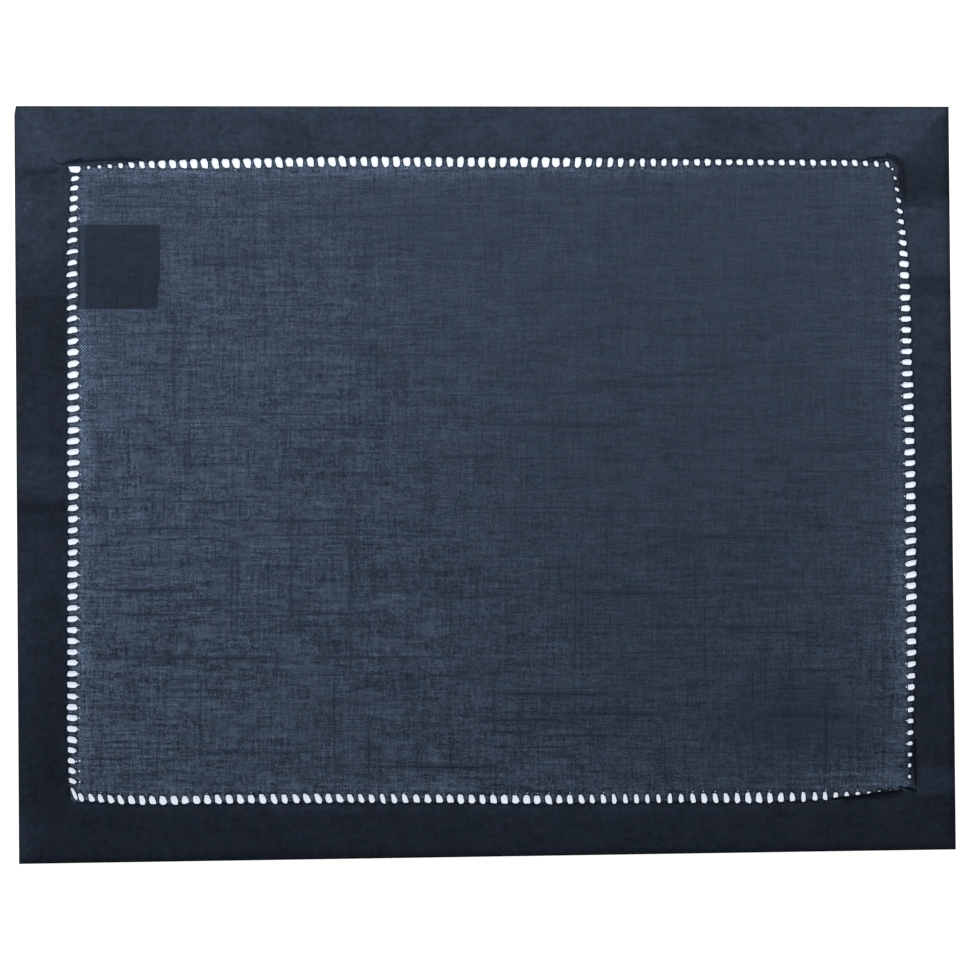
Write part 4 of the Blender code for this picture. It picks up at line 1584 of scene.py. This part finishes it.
stitches = []
for name, row in ROWS.items():
    outward = np.array([row.outward, 0.0] if row.upright else [0.0, row.outward])
    ends = []
    for place, along, width in bars_of(name):
        place, along = np.array(place), np.array(along)
        half = along * (width / 2 + WRAP_OVER)
        for inset in WRAP_INSETS:
            tilt = along * stitch_luck.uniform(-0.1, 0.1)
            middle = place - outward * (inset + stitch_luck.uniform(-0.06, 0.06))
            stitches.append(Stitch(middle - half + tilt, middle + half - tilt, THREAD_MM, WRAP_RISE))
        anchor = place + outward * (STITCH_MARGIN + LINE_OUT + stitch_luck.uniform(-0.08, 0.08))
        tail = place - outward * 0.4 + half * 0.8
        stitches.append(Stitch(anchor, tail, THREAD_MM * 0.85, TAIL_RISE))
        ends.append(anchor)
    for gap in GAPS[name]:
        if (gap.y if row.upright else gap.x) < CAPS_FROM[name]:
            continue
        length, depth = (gap.tall, gap.wide) if row.upright else (gap.wide, gap.tall)
        middle = np.array([gap.x, gap.y]) + outward * (depth / 2 + CAP_OUT)
        half = np.array(along) * (length / 2 + 0.15)
        thick = CAP_MM * stitch_luck.uniform(0.7, 1.2)
        stitches.append(Stitch(middle - half, middle + half, thick, CAP_RISE))
    for start, end in zip(ends, ends[1:]):
        stitches.append(Stitch(start, end, LINE_MM * stitch_luck.uniform(0.85, 1.15), LINE_RISE))
print("stitches:", len(stitches))

# %% [markdown]
# At the corners and where the row starts, the thread was gone over several times, which shows there as
# dark strands beside the gaps. Each is laid as strands of short stitches that wander to either side of
# a line by spread. A single thick tube would look like a cord.

# %% Strands where the thread was gone over
Laid = namedtuple("Laid", "x1 y1 x2 y2 strands spread")
LAID_STEP, LAID_MM, LAID_OVERLAP = 1.7, 0.75, 0.15
LAID = (
    # along the hem at the top left
    Laid(-206.6, 156.6, -197.0, 157.7, 3, 0.45),
    Laid(-197.0, 157.7, -187.0, 158.5, 2, 0.25),
    Laid(-187.0, 158.5, -168.0, 158.9, 2, 0.18),
    # round the top right corner
    Laid(186.0, 159.2, 200.5, 160.2, 2, 0.6),
    Laid(197.0, 160.9, 202.6, 157.0, 5, 1.1),
    Laid(202.1, 158.0, 203.3, 150.0, 5, 0.9),
    Laid(203.0, 150.0, 204.6, 140.0, 3, 0.7),
    # along both sides of the lower right corner
    Laid(170.0, -153.4, 190.0, -151.2, 3, 0.35),
    Laid(188.0, -151.2, 204.0, -149.2, 4, 0.55),
    Laid(203.0, -147.6, 211.0, -149.6, 3, 0.8),
    Laid(210.2, -147.0, 210.0, -124.0, 2, 0.25),
    # at the lower left corner
    Laid(-203.4, -152.0, -203.4, -147.0, 1, 0.3),
)
for laid in LAID:
    start, end = np.array(laid[:2]), np.array(laid[2:4])
    steps = max(2, round(np.linalg.norm(end - start) / LAID_STEP))
    for _ in range(laid.strands):
        places = [start + (end - start) * step / steps
                  + [stitch_luck.uniform(-laid.spread, laid.spread) for _ in "xy"]
                  for step in range(steps + 1)]
        for one, other in zip(places, places[1:]):
            overlap = (other - one) * LAID_OVERLAP
            stitches.append(Stitch(one - overlap, other + overlap, LAID_MM, LAID_RISE))
print("stitches with the strands:", len(stitches))

# %% [markdown]
# On the back, small slanting stitches close each mitre. All stitches then become tubes that thin out
# towards their ends and dip into the cloth there, as a real stitch does.

# %% Mitre stitches and the thread mesh
MITRE_STITCHES = 7
UNDER = -1
for corner, inner in zip(OUTLINE[:4], INNER_CORNERS):
    outer, inner = np.array(corner), np.array(inner)
    run = (inner - outer) / np.linalg.norm(inner - outer)
    aside = np.array([-run[1], run[0]])
    for number in range(MITRE_STITCHES):
        middle = outer + (inner - outer) * (0.9 - 0.11 * number)
        slant = aside * 0.35 + run * 0.5
        stitches.append(Stitch(middle - slant, middle + slant, THREAD_MM * 0.7, UNDER))

STITCH_STEPS = 6
ENDS_SINK = 0.08
UNDER_LEVEL = 0.30 + SEAM_GROOVE * 0.4
share = np.linspace(0, 1, STITCH_STEPS + 1)
lines = [np.asarray(s.start) + np.outer(share, np.asarray(s.end) - np.asarray(s.start)) for s in stitches]
tops = front_height(np.concatenate(lines))
tubes = Tubes([], [])
for number, (stitch, line) in enumerate(zip(stitches, lines)):
    z = tops[number * len(share):(number + 1) * len(share)].copy()
    if stitch.rise == UNDER:
        z[:] = UNDER_LEVEL
    else:
        z += -ENDS_SINK + stitch.rise * np.sin(math.pi * share)
    widths = stitch.width * (0.45 + 0.55 * np.sin(math.pi * share) ** 0.4)
    add_tube(tubes, np.column_stack([line, z]), widths, 0.8)
hemstitch_thread = new_piece("hemstitch_thread", tubes.points, tubes.faces)
print("stitches in the mesh:", len(stitches))

# %% [markdown]
# The thread is spun polyester, dyed nearly black, finer and harder than the linen. Its two plies show as
# fine ridges, and it shines a little where the linen does not.

# %% Thread finish
def sewing_thread():
    """Spun polyester sewing thread: dark, smooth and slightly glossy, with the ridges of its plies."""
    material, tree, shader = new_material("polyester_sewing_thread")
    place = add_node(tree, "ShaderNodeTexCoord").outputs["Object"]
    plies = add_node(tree, "ShaderNodeTexNoise", {"Vector": place, "Scale": 1 / (0.35 * MM), "Detail": 1})
    grained(tree, shader, "0B121E", plies.outputs["Fac"], (0.7, 1.4), 0.04, 0.5)
    set_inputs(shader, {"IOR": 1.57, "Roughness": 0.55, "Specular IOR Level": 0.08})
    return material


hemstitch_thread.data.materials.append(sewing_thread())
print("thread finish:", hemstitch_thread.data.materials[0].name)

# %% [markdown]
# ## The blank label
# Under the top left of the field hangs a label of dark satin tape, folded double and caught in the hem
# at its open side. From the front only its shadow shows. A flat square would cast the same shadow, but
# from behind it would be seen to have no fold. So the tape is one grid: its upper layer runs right, turns
# round a small fold and comes back underneath. It carries nothing.

# %% Folded tape
LABEL_LEFT, LABEL_LOWER_LEFT = -199.0, -195.6
LABEL_HIGH, LABEL_LOW = 0.86, 0.26
TAPE_ROWS, TAPE_COLUMNS, TAPE_TURN = 44, 30, 6
RIGHT_EDGE_Y = (85.6, 96.0, 98.0, 126.9)
RIGHT_EDGE_X = (-160.2, -160.0, -159.1, -158.8)

tape_points, tape_faces = [], []
fold = (LABEL_HIGH - LABEL_LOW) / 2
for row in range(TAPE_ROWS + 1):
    y = LABEL_FOOT + (LABEL_TOP - LABEL_FOOT) * row / TAPE_ROWS
    right = float(np.interp(y, RIGHT_EDGE_Y, RIGHT_EDGE_X)) - fold
    sag = 0.05 * math.sin(y / 6.5)
    upper = np.linspace(LABEL_LEFT, right, TAPE_COLUMNS)
    profile = [(x, LABEL_HIGH + sag * math.sin(x / 9)) for x in upper]
    for step in range(1, TAPE_TURN):
        angle = math.pi * step / TAPE_TURN
        z = (LABEL_HIGH + LABEL_LOW) / 2 + fold * math.cos(angle)
        profile.append((right + fold * math.sin(angle), z))
    profile += [(x, LABEL_LOW) for x in np.linspace(right, LABEL_LOWER_LEFT, TAPE_COLUMNS)]
    tape_points += [(x, y, z) for x, z in profile]
across = len(profile)
for row in range(TAPE_ROWS):
    for column in range(across - 1):
        here = row * across + column
        tape_faces.append([here, here + 1, here + across + 1, here + across])
blank_tape = new_piece("blank_tape", tape_points, tape_faces)

# %% [markdown]
# The tape is woven polyester satin, near black. Its long floats run across it and give a soft shine, so
# the noise is stretched that way, 2.5 mm by 0.35 mm. An anisotropic highlight would be closer to satin,
# but so little of the label is seen that it wouldn't show.

# %% Tape finish
def satin_tape():
    """Woven polyester satin tape, with long floats across it."""
    material, tree, shader = new_material("woven_satin_tape")
    place = add_node(tree, "ShaderNodeTexCoord").outputs["Object"]
    drawn = add_node(tree, "ShaderNodeVectorMath", {
        0: place, 1: (1 / (2.5 * MM), 1 / (0.35 * MM), 1 / MM)}, operation="MULTIPLY")
    floats = add_node(tree, "ShaderNodeTexNoise", {"Vector": drawn.outputs[0], "Scale": 1, "Detail": 1})
    grained(tree, shader, "1C222B", floats.outputs["Fac"], (0.75, 1.25), 0.04, 0.4)
    set_inputs(shader, {"IOR": 1.57, "Roughness": 0.45, "Specular IOR Level": 0.4})
    return material


blank_tape.data.materials.append(satin_tape())
print("tape finish:", blank_tape.data.materials[0].name)

# %% [markdown]
# ## Handing over
# Each piece rides on the mat's one body, and stands for a solid where there is one. The mat's cut is its
# own size and the hem's second layer and turned-in edge all round. The tape is twice the label's width,
# less the step.

for piece, slot in ((linen_mat, "cloth"), (slub_yarns, "cloth"), (hemstitch_thread, "cloth"),
                    (blank_tape, "label")):
    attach(piece, "root")
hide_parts("placemat_cloth")
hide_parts("blank_label")
